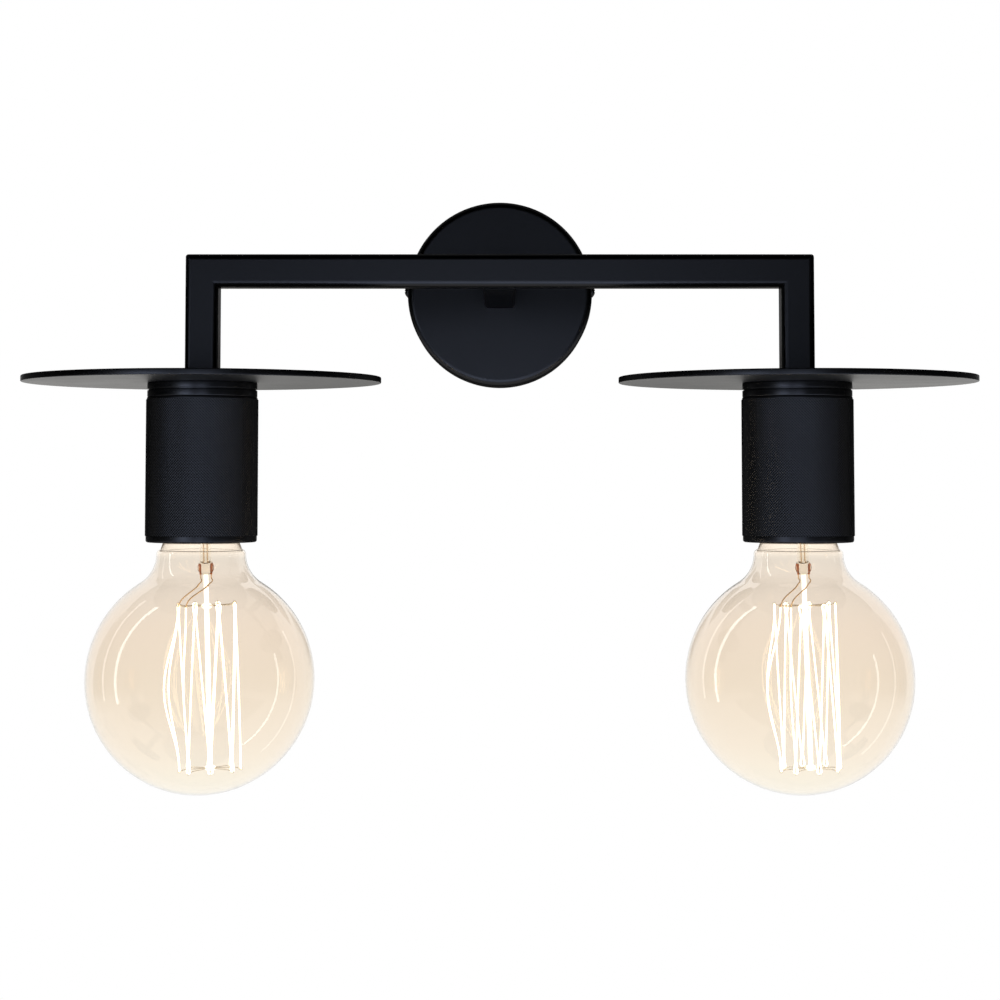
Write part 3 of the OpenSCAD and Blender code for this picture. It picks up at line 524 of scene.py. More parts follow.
keptFinishes = {
    "wall_bracket": zincPlate, "backplate": satinBlack, "side_screws": satinBlack,
    "earth_screw": turnedBrass, "block_screw": zincPlate, "arm_tube": satinBlack,
    "arm_washer": zincPlate, "arm_locknut": zincPlate,
}
for node, finish in keptFinishes.items():
    paint(node, finish)
for side in sides:
    for name, finish in {
        "drop_plug": zincPlate, "lock_nut": zincPlate,
        "socket_body": glazedPorcelain, "centre_contact": turnedBrass,
        "terminal_screws": zincPlate,
    }.items():
        paint(side + "_" + name, finish)
print("stage: carried-over nodes")


# Cross bar and drop tubes: square tube, mitred, welded and dressed to a softened corner

tubeSettings = {"corner": 2.5, "dressed": 1.2, "wall": 1.2, "flat": 0.05, "steps": 8}


def squareSection(half, radius):
    # Rounded square of (outwards, across); a point just inside each flat keeps the flat flat
    s = tubeSettings
    points = []
    for start in (0, 90, 180, 270):
        along = Vector((-math.sin(math.radians(start)), math.cos(math.radians(start))))
        out = Vector((along.y, -along.x))
        centre = (half - radius) * (out + along)
        first = centre + out * radius - along * s["flat"]
        last = centre + along * radius - out * s["flat"]
        points += [tuple(first)] + arcPoints(centre, radius, start, start + 90, s["steps"])
        points.append(tuple(last))
    return points


def makeTube(name, stations, node):
    # Stations are (side, height of an open end) or (side, None, angle round the dressed corner)
    s = tubeSettings
    half = (boxOf("cross_bar")[1][2] - boxOf("cross_bar")[0][2]) / 2
    known, faces = {}, []

    def ring(station, section, limit):
        side, end, *angle = station
        row = []
        for a, b in section:
            x, z = a, end
            if end is None:
                inside, past = min(a, limit), max(0, a - limit)
                turn = math.radians(angle[0])
                x, z = inside + past * math.cos(turn), inside + past * math.sin(turn)
            point = (round(side * (lampX["right"] + x), 5), round(lampY + b, 5), round(z, 5))
            row.append(known.setdefault(point, len(known)))
        return row

    outer = squareSection(half, s["corner"])
    bore = squareSection(half - s["wall"], s["corner"] - s["wall"])
    skins = [ring(station, outer, half - s["dressed"]) for station in stations]
    bores = [ring(station, bore, half) for station in stations]
    for one, two in list(zip(skins, skins[1:])) + list(zip(bores, bores[1:])):
        bridge(one, two, faces)
    bridge(skins[0], bores[0], faces)
    bridge(skins[-1], bores[-1], faces)
    addPiece(name, (list(known), faces), satinBlack, "fixture", [node], 30)


def makeTubeFrame():
    rise = [15 * k for k in range(4)]
    for side, sign in (("left", -1), ("right", 1)):
        end = boxOf(side + "_drop_tube")[0][2]
        makeTube(side + "DropTube", [(sign, end)] + [(sign, None, a) for a in rise],
                 side + "_drop_tube")
    turns = [45 + a for a in rise]
    makeTube("crossBar", [(-1, None, a) for a in turns] + [(1, None, a) for a in reversed(turns)],
             "cross_bar")


makeTubeFrame()


# Discs

discSettings = {"hole": 5.0, "edge": 0.4, "segments": 256}


def makeDisc(side):
    s = discSettings
    radius = (boxOf(side + "_disc_shade")[1][0] - boxOf(side + "_disc_shade")[0][0]) / 2
    hole, edge, thick = s["hole"], s["edge"], discTop - discLow
    outline = roundedOutline([
        (hole, 0, 0), (radius, 0, edge), (radius, thick, edge), (hole, thick, 0),
    ], 6)
    disc = addPiece(side + "Disc", revolve(outline, s["segments"], atLamp(side, discLow)),
                    satinBlack, "fixture", [side + "_disc_shade"], 20)
    disc.data.materials.append(discBlack)
    for face in disc.data.polygons:                 # the flat underside shines more at a low angle
        if face.normal.z < -0.9:
            face.material_index = 1


# Lampholder cap and its grooved collar

collarSettings = {
    "collar": 22.95, "edge": 0.45, "grooveDepth": 0.5, "grooveWidth": 0.7, "grooveUp": 2.8,
    "grooveEdge": 0.15, "grooveFoot": 0.12, "spigotEdge": 0.3, "inside": 0.6,
    "topThick": 3.0, "spigot": 21.0, "spigotWall": 1.6, "hole": 5.0, "segments": 160,
}


def makeCollar(side):
    s = collarSettings
    low = sleeveTop - capLow                       # the spigot's length
    top = capHigh - sleeveTop                      # the collar's height
    g, r = s["grooveUp"], s["collar"]
    inner = s["spigot"] - s["spigotWall"]
    outline = roundedOutline([
        (s["hole"], top, 0), (r, top, s["edge"]),
        (r, g + s["grooveWidth"], s["grooveEdge"]),
        (r - s["grooveDepth"], g + s["grooveWidth"], s["grooveFoot"]),
        (r - s["grooveDepth"], g, s["grooveFoot"]), (r, g, s["grooveEdge"]),
        (r, 0, s["edge"]), (s["spigot"], 0, 0), (s["spigot"], -low, s["spigotEdge"]),
        (inner, -low, s["spigotEdge"]), (inner, top - s["topThick"], s["inside"]),
        (s["hole"], top - s["topThick"], 0),
    ], 4)
    addPiece(side + "Collar", revolve(outline, s["segments"], atLamp(side, sleeveTop)),
             satinBlack, "fixture", [side + "_holder_cap"], 30)


# Knurled sleeve: rows of pyramids between two plain lips

sleeveSettings = {
    "crest": 23.45, "root": 23.31, "lip": 23.1, "around": 126, "topLip": 1.0, "lowLip": 2.7,
    "edge": 0.9, "topEdge": 0.4, "bore": 20.0, "jointBore": 21.1, "ledge": 10.9,
    "seam": 0.02, "chamfer": 0.4,
}


def makeSleeve(side):
    s = sleeveSettings
    height = sleeveTop - sleeveLow
    columns = 2 * s["around"]
    step = math.pi * s["crest"] / s["around"]
    band = height - s["topLip"] - s["lowLip"]
    count = int(round(band / step))
    heights = [height - s["topLip"] - band * i / count for i in range(count + 1)]
    top = [(s["jointBore"], height), (s["lip"] - s["topEdge"], height),
           (s["lip"] - s["topEdge"] * 0.3, height - s["topEdge"] * 0.3),
           (s["lip"], height - s["topEdge"]), (s["lip"], height - s["topLip"] + s["seam"])]
    bottom = [(s["lip"], s["lowLip"] - s["seam"])] + arcPoints(
        (s["lip"] - s["edge"], s["edge"]), s["edge"], 0, -90, 6)
    inside = [(s["bore"] + s["chamfer"], 0), (s["bore"], s["chamfer"]),
              (s["bore"], height - s["ledge"]), (s["jointBore"], height - s["ledge"])]
    outline = top + [(s["crest"], z) for z in heights] + bottom + inside
    first, last = len(top), len(top) + count

    def radiusAt(i, k, r):
        if first <= i <= last:
            return s["crest"] if (i - first + k) % 2 else s["root"]
        return r

    verts, faces = revolve(outline, columns, atLamp(side, sleeveLow), radiusAt)
    cut = []
    for face in faces:
        row, column = divmod(face[0], columns)
        if len(face) == 4 and first <= row < last:
            a, b, c, d = face                      # split along the groove between two roots
            even = (row - first + column) % 2 == 0
            cut += [[a, b, c], [a, c, d]] if even else [[b, c, d], [b, d, a]]
        else:
            cut.append(face)
    addPiece(side + "Sleeve", (verts, cut), knurlBlack, "fixture",
             [side + "_knurled_sleeve"], 24)


# Screw shell of the holder, with its rolled thread

edison = {"pitch": 3.629, "depth": 0.9, "segments": 96, "rows": 14}     # rows to a pitch


def threadSkin(centre, low, high, radius, wall, phaseShift, fadeLow, fadeHigh, topLip=()):
    # Sheet with the same wave on both faces; the wave fades out towards each end
    e = edison
    count = int((high - low) / e["pitch"] * e["rows"])
    heights = evenly(low, high, count)

    def waveAt(z, k):
        wave = threadWave(z - phaseShift, k, e["pitch"], e["segments"])
        near = min(1, max(0, (z - low) / fadeLow), max(0, (high - z) / fadeHigh))
        return 1 - (1 - wave) * near

    outer = [(radius, z) for z in heights]
    outline = outer + list(topLip) + [(radius, z) for z in reversed(heights)]
    turnBack = count + 1 + len(topLip)

    def radiusAt(i, k, r):
        if i <= count:
            return radius - e["depth"] * (1 - waveAt(heights[i], k))
        if i < turnBack:
            return r
        return radius - wall - e["depth"] * (1 - waveAt(heights[turnBack + count - i], k))

    return revolve(outline, e["segments"], centre, radiusAt)


shellSettings = {
    "floor": 26.0, "sheet": 0.6, "plain": 2.2, "fadeLow": 1.2, "fadeHigh": 2.0,
    "tabIn": 1.2, "tabHalf": 3, "padFrom": 5.0,
    # rolled edge: inwards from the wall, down from the floor
    "lip": [(0, 0.6), (0.6, 0), (2.4, 0), (2.4, 0.6), (1.0, 0.7), (0.6, 1.2)],
}


def makeScrewShell(side):
    s = shellSettings
    low, high = boxOf(side + "_screw_shell")
    outer = (high[1] - low[1]) / 2
    floor = low[2] + s["floor"]
    skin = threadSkin(atLamp(side, 0), low[2], floor - s["plain"], outer, s["sheet"], bulbTip,
                      s["fadeLow"], s["fadeHigh"], [(outer - a, floor - b) for a, b in s["lip"]])
    tabX = lampX[side] + outer - s["sheet"] - s["tabIn"]
    corner = (tabX + s["sheet"] / 2, lampY + s["tabHalf"], high[2])
    tab = boxPart((tabX - s["sheet"] / 2, lampY - s["tabHalf"], floor - s["sheet"]), corner)
    pad = boxPart((lampX[side] + s["padFrom"], lampY - s["tabHalf"], high[2] - s["sheet"]), corner)
    addPiece(side + "ScrewShell", joined(skin, tab, pad), turnedBrass, "fixture",
             [side + "_screw_shell"])


def boxPart(low, high):
    verts = [(x, y, z) for x in (low[0], high[0]) for y in (low[1], high[1])
             for z in (low[2], high[2])]
    faces = [[0, 1, 3, 2], [4, 6, 7, 5], [0, 4, 5, 1], [2, 3, 7, 6], [0, 2, 6, 4], [1, 5, 7, 3]]
    return verts, faces


for side in sides:
    makeDisc(side)
    makeCollar(side)
    makeSleeve(side)
    makeScrewShell(side)
print("stage: discs and lampholders")


# Globe bulb: envelope of true arcs, threaded cap, vitrite and contact

globeSettings = {
    "radius": 47.5, "neck": 18.6, "fillet": 14.0, "shoulder": 2.0, "glass": 0.45,
    "capRadius": 13.1, "capLength": 26.7, "capSheet": 0.4, "sealRadius": 12.3, "sealTop": -16.0,
    "capGap": 0.1, "capCorner": 0.3, "neckIn": 0.6, "neckUp": 2.6, "shoulderFrom": 75,
    "segments": 224,
}
capSettings = {
    "skirt": -7.0, "fadeLow": 2.6, "fadeHigh": 1.6,
    # rolled edge: inwards from the wall, height below the tip
    "lip": [(0.1, -6.2), (0.9, -5.2), (1.6, -4.6), (1.9, -4.8), (1.5, -5.2), (0.6, -6.3)],
    "vitrite": [(4.05, -0.75, 0.2), (10.9, -3.9, 0.5), (10.9, -6.0, 0.4), (0.0, -6.0, 0),
                (0.0, -0.75, 0)],
    "contact": 4.0, "dome": 0.7,
}


def globeOutline(inset):
    # Half outline from the seal inside the cap down to the crown, drawn in by inset
    s = globeSettings
    length = bulbTip - crown
    centre = -(length - s["radius"])
    blendX = s["neck"] + s["fillet"]
    blendZ = centre + math.sqrt((s["radius"] + s["fillet"]) ** 2 - blendX ** 2)
    meet = math.degrees(math.atan2(blendZ - centre, blendX))
    top = -s["capLength"] - s["capGap"]
    corner = (s["neck"] - s["shoulder"], blendZ)
    points = [(s["sealRadius"] - inset, s["sealTop"]), (s["sealRadius"] - inset, top - inset),
              (s["capRadius"] - inset, top - inset - s["capCorner"]),
              (corner[0] - inset - s["neckIn"], blendZ + s["shoulder"] - inset + s["neckUp"])]
    points += arcPoints(corner, s["shoulder"] - inset, s["shoulderFrom"], 0, 8)
    points += arcPoints((blendX, blendZ), s["fillet"] + inset, 180, 180 + meet, 16)[1:]
    points += arcPoints((0, centre), s["radius"] - inset, meet, -90, 90)[1:]
    points[-1] = (0, centre - s["radius"] + inset)
    return points


def makeGlobe(side):
    s = globeSettings
    outline = globeOutline(0) + list(reversed(globeOutline(s["glass"])))
    addPiece(side + "Globe", revolve(outline, s["segments"], atLamp(side, bulbTip)), amberGlass,
             side + "_bulb", [side + "_globe"], 60)


def makeBulbCap(side):
    s, c = globeSettings, capSettings
    centre, cap = atLamp(side, bulbTip), s["capRadius"]
    skin = threadSkin(centre, -s["capLength"], c["skirt"], cap, s["capSheet"], 0, c["fadeLow"],
                      c["fadeHigh"], [(cap - a, z) for a, z in c["lip"]])
    addPiece(side + "BulbCap", skin, rolledCap, side + "_bulb",
             [side + "_cap_shell"])
    addPiece(side + "Vitrite", revolve(roundedOutline(c["vitrite"], 4), 64, centre), blackVitrite,
             side + "_bulb_slide", [side + "_cap_insulator"], 50)
    dome = [(0, 0)] + [(c["contact"] * math.sin(a), -c["dome"] + c["dome"] * math.cos(a))
                       for a in [math.pi / 2 * k / 8 for k in range(1, 9)]] + [(0, -c["dome"])]
    addPiece(side + "Contact", revolve(dome, 48, centre), dullSolder,
             side + "_bulb_slide", [side + "_cap_contact"], 50)


for side in sides:
    makeGlobe(side)
    makeBulbCap(side)
print("stage: globes and caps")


# Cage mount: stem, pinch, buttons, hooks, lead wires and filament

mountSettings = {
    "shift": 1.2, "tilt": 1.7, "flareTop": -18.0, "flareRadius": 10.0, "stemRadius": 2.4,
    "stemBore": 1.5, "pinchTop": -41.4, "pinchHeight": 6.2, "pinchWide": 3.5, "pinchThick": 1.5,
    "rod": 1.0, "topRing": -60.0, "cageHeight": 67.0, "cage": 12.7, "hooks": 8,
    "firstHook": 210.5, "slackSide": 200.0, "bow": 6.0, "turn": 0.9, "button": 2.2,
    "filament": 0.3, "hookWire": 0.17, "leadWire": 0.26, "leadSide": 2.2, "sealWire": 0.5,
    "hookGap": 0.05, "endStep": 25, "flareCurve": 2.4, "flareSheet": 0.8, "flareDrop": 5,
    "rodIn": 0.6, "rodEnd": 1.2, "buttonCurve": 0.7, "pinchFrom": 0.02, "pinchSpan": 0.9,
    "pinchCurve": 0.6, "hookRoot": 0.4, "hookStep": 38, "leadFront": -1.6, "leadFoot": 8,
}


def mountMatrix(side):
    s = mountSettings
    return (Matrix.Translation((lampX[side] + s["shift"], lampY, bulbTip + s["flareTop"]))
            @ Matrix.Rotation(math.radians(-s["tilt"]), 4, "Y")
            @ Matrix.Translation((0, 0, -s["flareTop"])))


def topAngle(i):
    return mountSettings["firstHook"] - i * 360 / mountSettings["hooks"]


def lowAngle(i):
    return topAngle(i + 0.5)


def onRing(angle, radius, z):
    a = math.radians(angle)
    return Vector((radius * math.cos(a), radius * math.sin(a), z))


def slackOf(middle):
    s = mountSettings
    away = (middle - s["slackSide"] + 180) % 360 - 180
    return s["bow"] * max(0, math.cos(math.radians(2 * away))) if abs(away) < 45 else 0


def strand(a0, z0, a1, z1, count=15):
    s = mountSettings
    bow = slackOf((a0 + a1) / 2)
    out = []
    for k in range(1, count + 1):
        u = k / (count + 1)
        out.append(onRing(a0 + (a1 - a0) * u, s["cage"] + bow * math.sin(math.pi * u) ** 2,
                          z0 + (z1 - z0) * u))
    return out


def hookTurn(angle, z, up):
    s = mountSettings
    step = math.degrees(s["turn"] / s["cage"])
    out = []
    for k in range(-3, 4):
        a = k / 3 * math.pi / 2
        out.append(onRing(angle - math.sin(a) * step, s["cage"], z + up * math.cos(a) * s["turn"]))
    return out


def filamentPath():
    s = mountSettings
    top, low = s["topRing"], s["topRing"] - s["cageHeight"]
    path = [onRing(topAngle(0), s["cage"], top)]
    for i in range(s["hooks"]):
        if i:
            path += hookTurn(topAngle(i), top, 1)
        path += strand(topAngle(i), top, lowAngle(i), low)
        path += hookTurn(lowAngle(i), low, -1)
        if i < s["hooks"] - 1:
            path += strand(lowAngle(i), low, topAngle(i + 1), top)
    end = topAngle(s["hooks"]) + s["endStep"]
    path += strand(lowAngle(s["hooks"] - 1), low, end, top)
    path.append(onRing(end, s["cage"], top))
    return path


def flareSide(narrow, wide, end):
    # One side of the flare, from its wide rim to the height where it meets the stem's tube
    s = mountSettings
    return [(narrow + (wide - narrow) * (1 - u) ** s["flareCurve"],
             s["flareTop"] + (end - s["flareTop"]) * u) for u in evenly(0, 1, 10)]


def makeStem(side):
    s = mountSettings
    matrix = mountMatrix(side)
    bend = s["flareTop"] - 2 * s["stemRadius"] - s["flareDrop"]
    outer = flareSide(s["stemRadius"], s["flareRadius"], bend)
    inner = flareSide(s["stemBore"], s["flareRadius"] - s["flareSheet"], bend + s["flareSheet"])
    outline = [(s["flareRadius"], s["flareTop"])] + outer[1:]
    outline += [(s["stemRadius"], s["pinchTop"]), (s["stemBore"], s["pinchTop"])] + inner[::-1]
    tube = revolve(outline, 40, (0, 0, 0))
    low = s["topRing"] - s["cageHeight"]
    rodTop = s["pinchTop"] - s["pinchHeight"]
    rodOutline = [(0, rodTop + s["rodIn"]), (s["rod"], rodTop + s["rodIn"])]
    for z in (s["topRing"], low):                   # glass buttons on the rod
        for a in evenly(0, math.pi, 8):
            swell = (s["button"] - s["rod"]) * math.sin(a) ** s["buttonCurve"]
            rodOutline.append((s["rod"] + swell, z + math.cos(a)))
    rodOutline.append((0, low - s["rodEnd"]))
    rod = revolve(rodOutline, 32, (0, 0, 0))
    addPiece(side + "Stem", moved(tube, matrix), stemGlass, side + "_bulb",
             [side + "_stem"], 50)
    addPiece(side + "Rod", moved(rod, matrix), rodGlass, side + "_bulb", (), 50)
    rings = []                                      # pinch lofted from round to flat to round
    for u in evenly(0, 1, 14):
        along = min(1, max(0, (u - s["pinchFrom"]) / s["pinchSpan"]))
        flat = math.sin(math.pi * along) ** s["pinchCurve"]
        plain = (s["stemRadius"] * (1 - u) + s["rod"] * u) * (1 - flat)
        wide, thick = plain + s["pinchWide"] * flat, plain + s["pinchThick"] * flat
        z = s["pinchTop"] - s["pinchHeight"] * u
        rings.append([(wide * math.cos(a), thick * math.sin(a), z) for a in turnsOf(28)])
    verts, faces, rows = loft(rings)
    addPiece(side + "Pinch", moved((verts, faces + [rows[0], rows[-1]]), matrix), pinchGlass,
             side + "_bulb", (), 60)


def hookPath(angle, z, up):
    # Wire from the button out to the filament, ending in a small pigtail around it
    s = mountSettings
    away = onRing(angle, 1, 0)
    rise = Vector((0, 0, 1))
    start = away * (s["button"] - s["hookRoot"]) + rise * z
    reach = s["cage"] - s["filament"] - s["hookWire"] - s["hookGap"]
    path = [start, start + away * 3 + rise * 0.2 * up,
            away * (reach - 2.0) + rise * (z + 0.3 * up)]
    loop = away * s["cage"] + rise * z
    size = s["filament"] + s["hookWire"] + s["hookGap"]
    for k in range(9):
        a = math.radians(180 - s["hookStep"] * k)
        path.append(loop + away * size * math.cos(a) + rise * up * (s["turn"] + size * math.sin(a)))
    return smoothPath(path, 3)


def makeHooks(side):
    s = mountSettings
    top, low = s["topRing"], s["topRing"] - s["cageHeight"]
    parts = []
    for i in range(s["hooks"]):
        for path in (hookPath(topAngle(i), top, 1), hookPath(lowAngle(i), low, -1)):
            parts.append(sweep(path, s["hookWire"], 8))
    addPiece(side + "Hooks", moved(joined(*parts), mountMatrix(side)), drawnNickel,
             side + "_bulb", [side + "_support_hooks"], 60)


def makeLeads(side):
    s = mountSettings
    matrix = mountMatrix(side)
    path = filamentPath()
    rodTop = s["pinchTop"] - s["pinchHeight"]
    parts, seals = [], []
    for way, end in ((-1, path[0]), (1, path[-1])):
        x = way * s["leadSide"]
        line = smoothPath([                         # both pass in front of the rod
            (x, 0, rodTop + 1.2), (x, 0, rodTop - 1.0), (x, s["leadFront"], rodTop - 3.2),
            end + Vector((2.2, 1.5, 4)), end + Vector((0.3, 0.1, 1.2)), end,
        ], 6)
        parts.append(sweep(line, s["leadWire"], 10))
        seals.append(sweep([(x, 0, rodTop + 0.5), (x, 0, s["pinchTop"] - 1.0)], s["sealWire"], 12))
        x = way * s["stemBore"] / 2
        parts.append(sweep([(x, 0, s["pinchTop"] - 0.6), (x, 0, s["pinchTop"] + s["leadFoot"]),
                            (x, 0, s["flareTop"] + 4)], s["leadWire"], 10))
    addPiece(side + "Leads", moved(joined(*parts), matrix), warmWire, side + "_bulb",
             [side + "_lead_wires"], 60)
    addPiece(side + "SealWires", moved(joined(*seals), matrix), sealWire, side + "_bulb",
             (), 60)


def makeFilament(side):
    s = mountSettings
    wire = sweep(filamentPath(), s["filament"], 10)
    addPiece(side + "Filament", moved(wire, mountMatrix(side)), hotCarbon, side + "_bulb",
             [side + "_filament"], 60)


for side in sides:
    makeStem(side)
    makeHooks(side)
    makeLeads(side)
    makeFilament(side)
print("stage: cage mounts")


# Wiring, terminal block and the threaded arm end

wiringSettings = {
    "flex": 1.6, "core": 0.8, "bend": 5.0, "pole": 8.0, "earth": 1.1, "tagThick": 0.8,
    "terminalX": 8.0, "strapFace": -1.5, "tailArm": -12.4, "tailDrop": 9.45,
    "armTag": (5.0, 7.4), "earthTag": (2.05, 4.45), "tagTail": 5.0,     # tags: hole and ring
    "tagHalf": 1.5, "crimp": 1.45, "crimpPast": 0.2, "crimpLength": 2.6, "tagRoot": 0.6,
    "apart": 0.05, "coreBend": 1.2,
}
faceWall = Matrix.Rotation(math.radians(90), 4, "X")    # turns an upright form to the wall


def makeFlex(side):
    s = wiringSettings
    sign = -1 if side == sides[0] else 1
    low, high = boxOf("terminal_block")
    blockY, blockLow = (low[1] + high[1]) / 2, low[2]
    split = boxOf(side + "_drop_plug")[0][2] - 1
    lane = sign * (s["flex"] + 0.2)
    path = roundedPath([
        (sign * s["pole"], blockY, blockLow - 0.3), (lane, blockY - 1, 0), (lane, lampY, 0),
        (lampX[side], lampY, 0), (lampX[side], lampY, split),
    ], s["bend"], 12)
    addPiece(side + "Flex", sweep(path, s["flex"], 16), darkFlex, "fixture",
             [side + "_flex"], 50)
    padTop = boxOf(side + "_screw_shell")[1][2]
    wireY = boxOf(side + "_terminal_screws")[0][1] - s["core"] - 0.3
    parts = []
    for way in (-1, 1):
        x = lampX[side] + way * (s["core"] + s["apart"])
        parts.append(sweep(roundedPath([
            (x, lampY, split + 1.5), (x, lampY, split - 2),
            (lampX[side] + way * s["terminalX"], wireY, padTop + 3.4),
            (lampX[side] + way * s["terminalX"], wireY, padTop + 0.1),
        ], s["coreBend"], 5), s["core"], 12))
    addPiece(side + "Cores", joined(*parts), brownCore, "fixture", (), 50)


def crimpTag(centre, hole, ring):
    # Flat ring with a rolled crimp; the ring lies in the XZ plane and the crimp points down
    s = wiringSettings
    outline = roundedOutline([(hole, 0, 0.1), (ring, 0, 0.15), (ring, s["tagThick"], 0.15),
                              (hole, s["tagThick"], 0.1)], 2)
    flat = moved(revolve(outline, 40, (0, 0, 0)), Matrix.Translation(centre) @ faceWall)
    x, y, z = centre
    end, middle = z - ring - s["tagTail"], y - s["tagThick"] / 2
    tail = boxPart((x - s["tagHalf"], y - s["tagThick"], end),
                   (x + s["tagHalf"], y, z - ring + s["tagRoot"]))
    crimp = sweep([(x, middle, end - s["crimpPast"]), (x, middle, end + s["crimpLength"])],
                  s["crimp"], 20)
    return joined(flat, tail, crimp)


def makeEarthLead():
    s = wiringSettings
    washerFace = boxOf("arm_washer")[1][1]
    screw = boxOf("earth_screw")
    earthZ = (screw[0][2] + screw[1][2]) / 2
    armTag = crimpTag((0, washerFace + s["tagThick"], 0), *s["armTag"])
    earthTag = crimpTag((0, s["strapFace"], earthZ), *s["earthTag"])
    addPiece("earthTags", joined(armTag, earthTag), zincPlate, "fixture", (), 40)
    sag = boxOf("earth_lead")[0][2] + s["earth"]
    armY, earthY = washerFace + s["tagThick"] / 2, s["strapFace"] - s["tagThick"] / 2
    path = roundedPath([(0, armY, s["tailArm"] + 1), (0, armY, sag), (0, earthY, sag),
                        (0, earthY, earthZ - s["tailDrop"] + 1)], s["bend"], 10)
    addPiece("earthLead", sweep(path, s["earth"], 16), earthStripe, "fixture",
             ["earth_lead"], 50)


def bevelEdges(piece, width):
    shape = bmesh.new()
    shape.from_mesh(piece.data)
    bmesh.ops.bevel(shape, geom=list(shape.edges), offset=width * mm, segments=3,
                    affect="EDGES", profile=0.5)
    shape.to_mesh(piece.data)
    shape.free()
    shadeSmooth(piece.data, 40)


def tubePart(centre, outer, inner, low, high, turn=Matrix.Identity(4)):
    outline = roundedOutline([(inner, low, 0.1), (outer, low, 0.2), (outer, high, 0.2),
                              (inner, high, 0.1)], 2)
    return moved(revolve(outline, 32, (0, 0, 0)), Matrix.Translation(centre) @ turn)


blockSettings = {
    "base": 4.2, "bevel": 0.5, "inset": 0.4, "screwStep": 4,
    "tower": (3.7, 1.75), "chimney": (2.9, 1.9), "well": (3.4, 2.95), "insert": (1.72, 1.3),
    "sunk": 1.2, "chimneyFoot": 4.6, "wellFoot": 4.0, "wellMouth": 1.6,
    "head": 1.8, "headFoot": 3.2, "headTop": 1.4, "slot": 0.22, "slotHalf": 1.5,
}


def makeTerminalBlock():
    s = blockSettings
    low, high = boxOf("terminal_block")
    middle = [(a + b) / 2 for a, b in zip(low, high)]
    poles = (-wiringSettings["pole"], wiringSettings["pole"])
    rows = (middle[2] - s["screwStep"], middle[2] + s["screwStep"])
    spots = [(x, z) for x in poles for z in rows]
    base = boxPart((low[0], high[1] - s["base"], low[2] + s["inset"]),
                   (high[0], high[1], high[2] - s["inset"]))
    bevelEdges(addPiece("blockBase", base, whiteNylon, "fixture",
                        ["terminal_block"], 30), s["bevel"])
    poleY = middle[1] - s["inset"]
    towers = [tubePart((x, poleY, 0), *s["tower"], low[2], high[2]) for x in poles]
    towers += [tubePart((x, 0, z), *s["chimney"], -high[1] + s["chimneyFoot"], -low[1], faceWall)
               for x, z in spots]
    towers.append(tubePart((0, 0, middle[2]), *s["well"], -high[1] + s["wellFoot"],
                           -middle[1] + s["wellMouth"], faceWall))
    addPiece("blockTowers", joined(*towers), whiteNylon, "fixture", (), 40)
    inserts = [tubePart((x, poleY, 0), *s["insert"], low[2] + s["sunk"], high[2] - s["sunk"])
               for x in poles]
    addPiece("blockInserts", joined(*inserts), turnedBrass, "fixture", (), 40)
    bottom, top = -low[1] - s["headFoot"], -low[1] - s["headTop"]
    head = roundedOutline([(0, bottom, 0), (s["head"], bottom, 0), (s["head"], top, 0.25),
                           (0, top, 0)], 3)
    screws = []
    for x, z in spots:
        screws.append(moved(revolve(head, 24, (0, 0, 0)), Matrix.Translation((x, 0, z)) @ faceWall))
        screws.append(boxPart((x - s["slotHalf"], low[1] + 1.3, z - s["slot"]),
                              (x + s["slotHalf"], low[1] + 1.41, z + s["slot"])))
    addPiece("blockScrews", joined(*screws), zincPlate, "fixture", (), 40)


plugSettings = {
    "bore": 3.7, "root": 4.35, "depth": 0.55, "pitch": 1.0, "fade": 0.6, "overlap": 0.2,
    "segments": 48, "rows": 8, "around": 64, "corner": 1.32,
}


def threadedStub(low, high):
    # Hollow stub with an outside thread that runs out at both ends
    s = plugSettings
    count = int((high - low) / s["pitch"] * s["rows"])
    heights = evenly(low, high, count)
    outline = [(s["root"], z) for z in heights] + [(s["bore"], high), (s["bore"], low)]

    def radiusAt(i, k, r):
        if i > count:
            return r
        z = heights[i]
        ends = min(1, max(0, min(z - low, high - z) / s["fade"]))
        return s["root"] + s["depth"] * threadWave(z, k, s["pitch"], s["segments"]) * ends

    return revolve(outline, s["segments"], (0, 0, 0), radiusAt)


def makeArmPlug():
    # Square plug in the arm with a threaded, hollow stub through the backplate
    s = plugSettings
    low, high = boxOf("arm_plug")
    face = boxOf("arm_tube")[1][1] - s["overlap"]
    half = (high[0] - low[0]) / 2
    stub = threadedStub(face, high[1])
    turn = Matrix(((1, 0, 0, 0), (0, 0, 1, 0), (0, -1, 0, 0), (0, 0, 0, 1)))
    outer, inner, n = [], [], s["around"]
    for a in turnsOf(n):                            # square outline around the bore
        x, z = math.cos(a), math.sin(a)
        reach = min(half / max(abs(x), abs(z)), half * s["corner"])
        outer.append((reach * x, reach * z))
        inner.append((s["bore"] * x, s["bore"] * z))
    verts = [(x, y, z) for y in (low[1], face) for x, z in outer + inner]
    faces = []
    for k in range(n):
        m = (k + 1) % n
        faces += [[k, m, 2 * n + m, 2 * n + k], [n + k, 3 * n + k, 3 * n + m, n + m],
                  [k, n + k, n + m, m], [2 * n + k, 2 * n + m, 3 * n + m, 3 * n + k]]
    addPiece("armPlug", joined(moved(stub, turn), (verts, faces)), zincPlate, "fixture",
             ["arm_plug"], 40)


for side in sides:
    makeFlex(side)
makeEarthLead()
makeTerminalBlock()
makeArmPlug()
print("stage: wiring and wall parts")


# Studio: pale floor, white surround, dark flags and soft lights

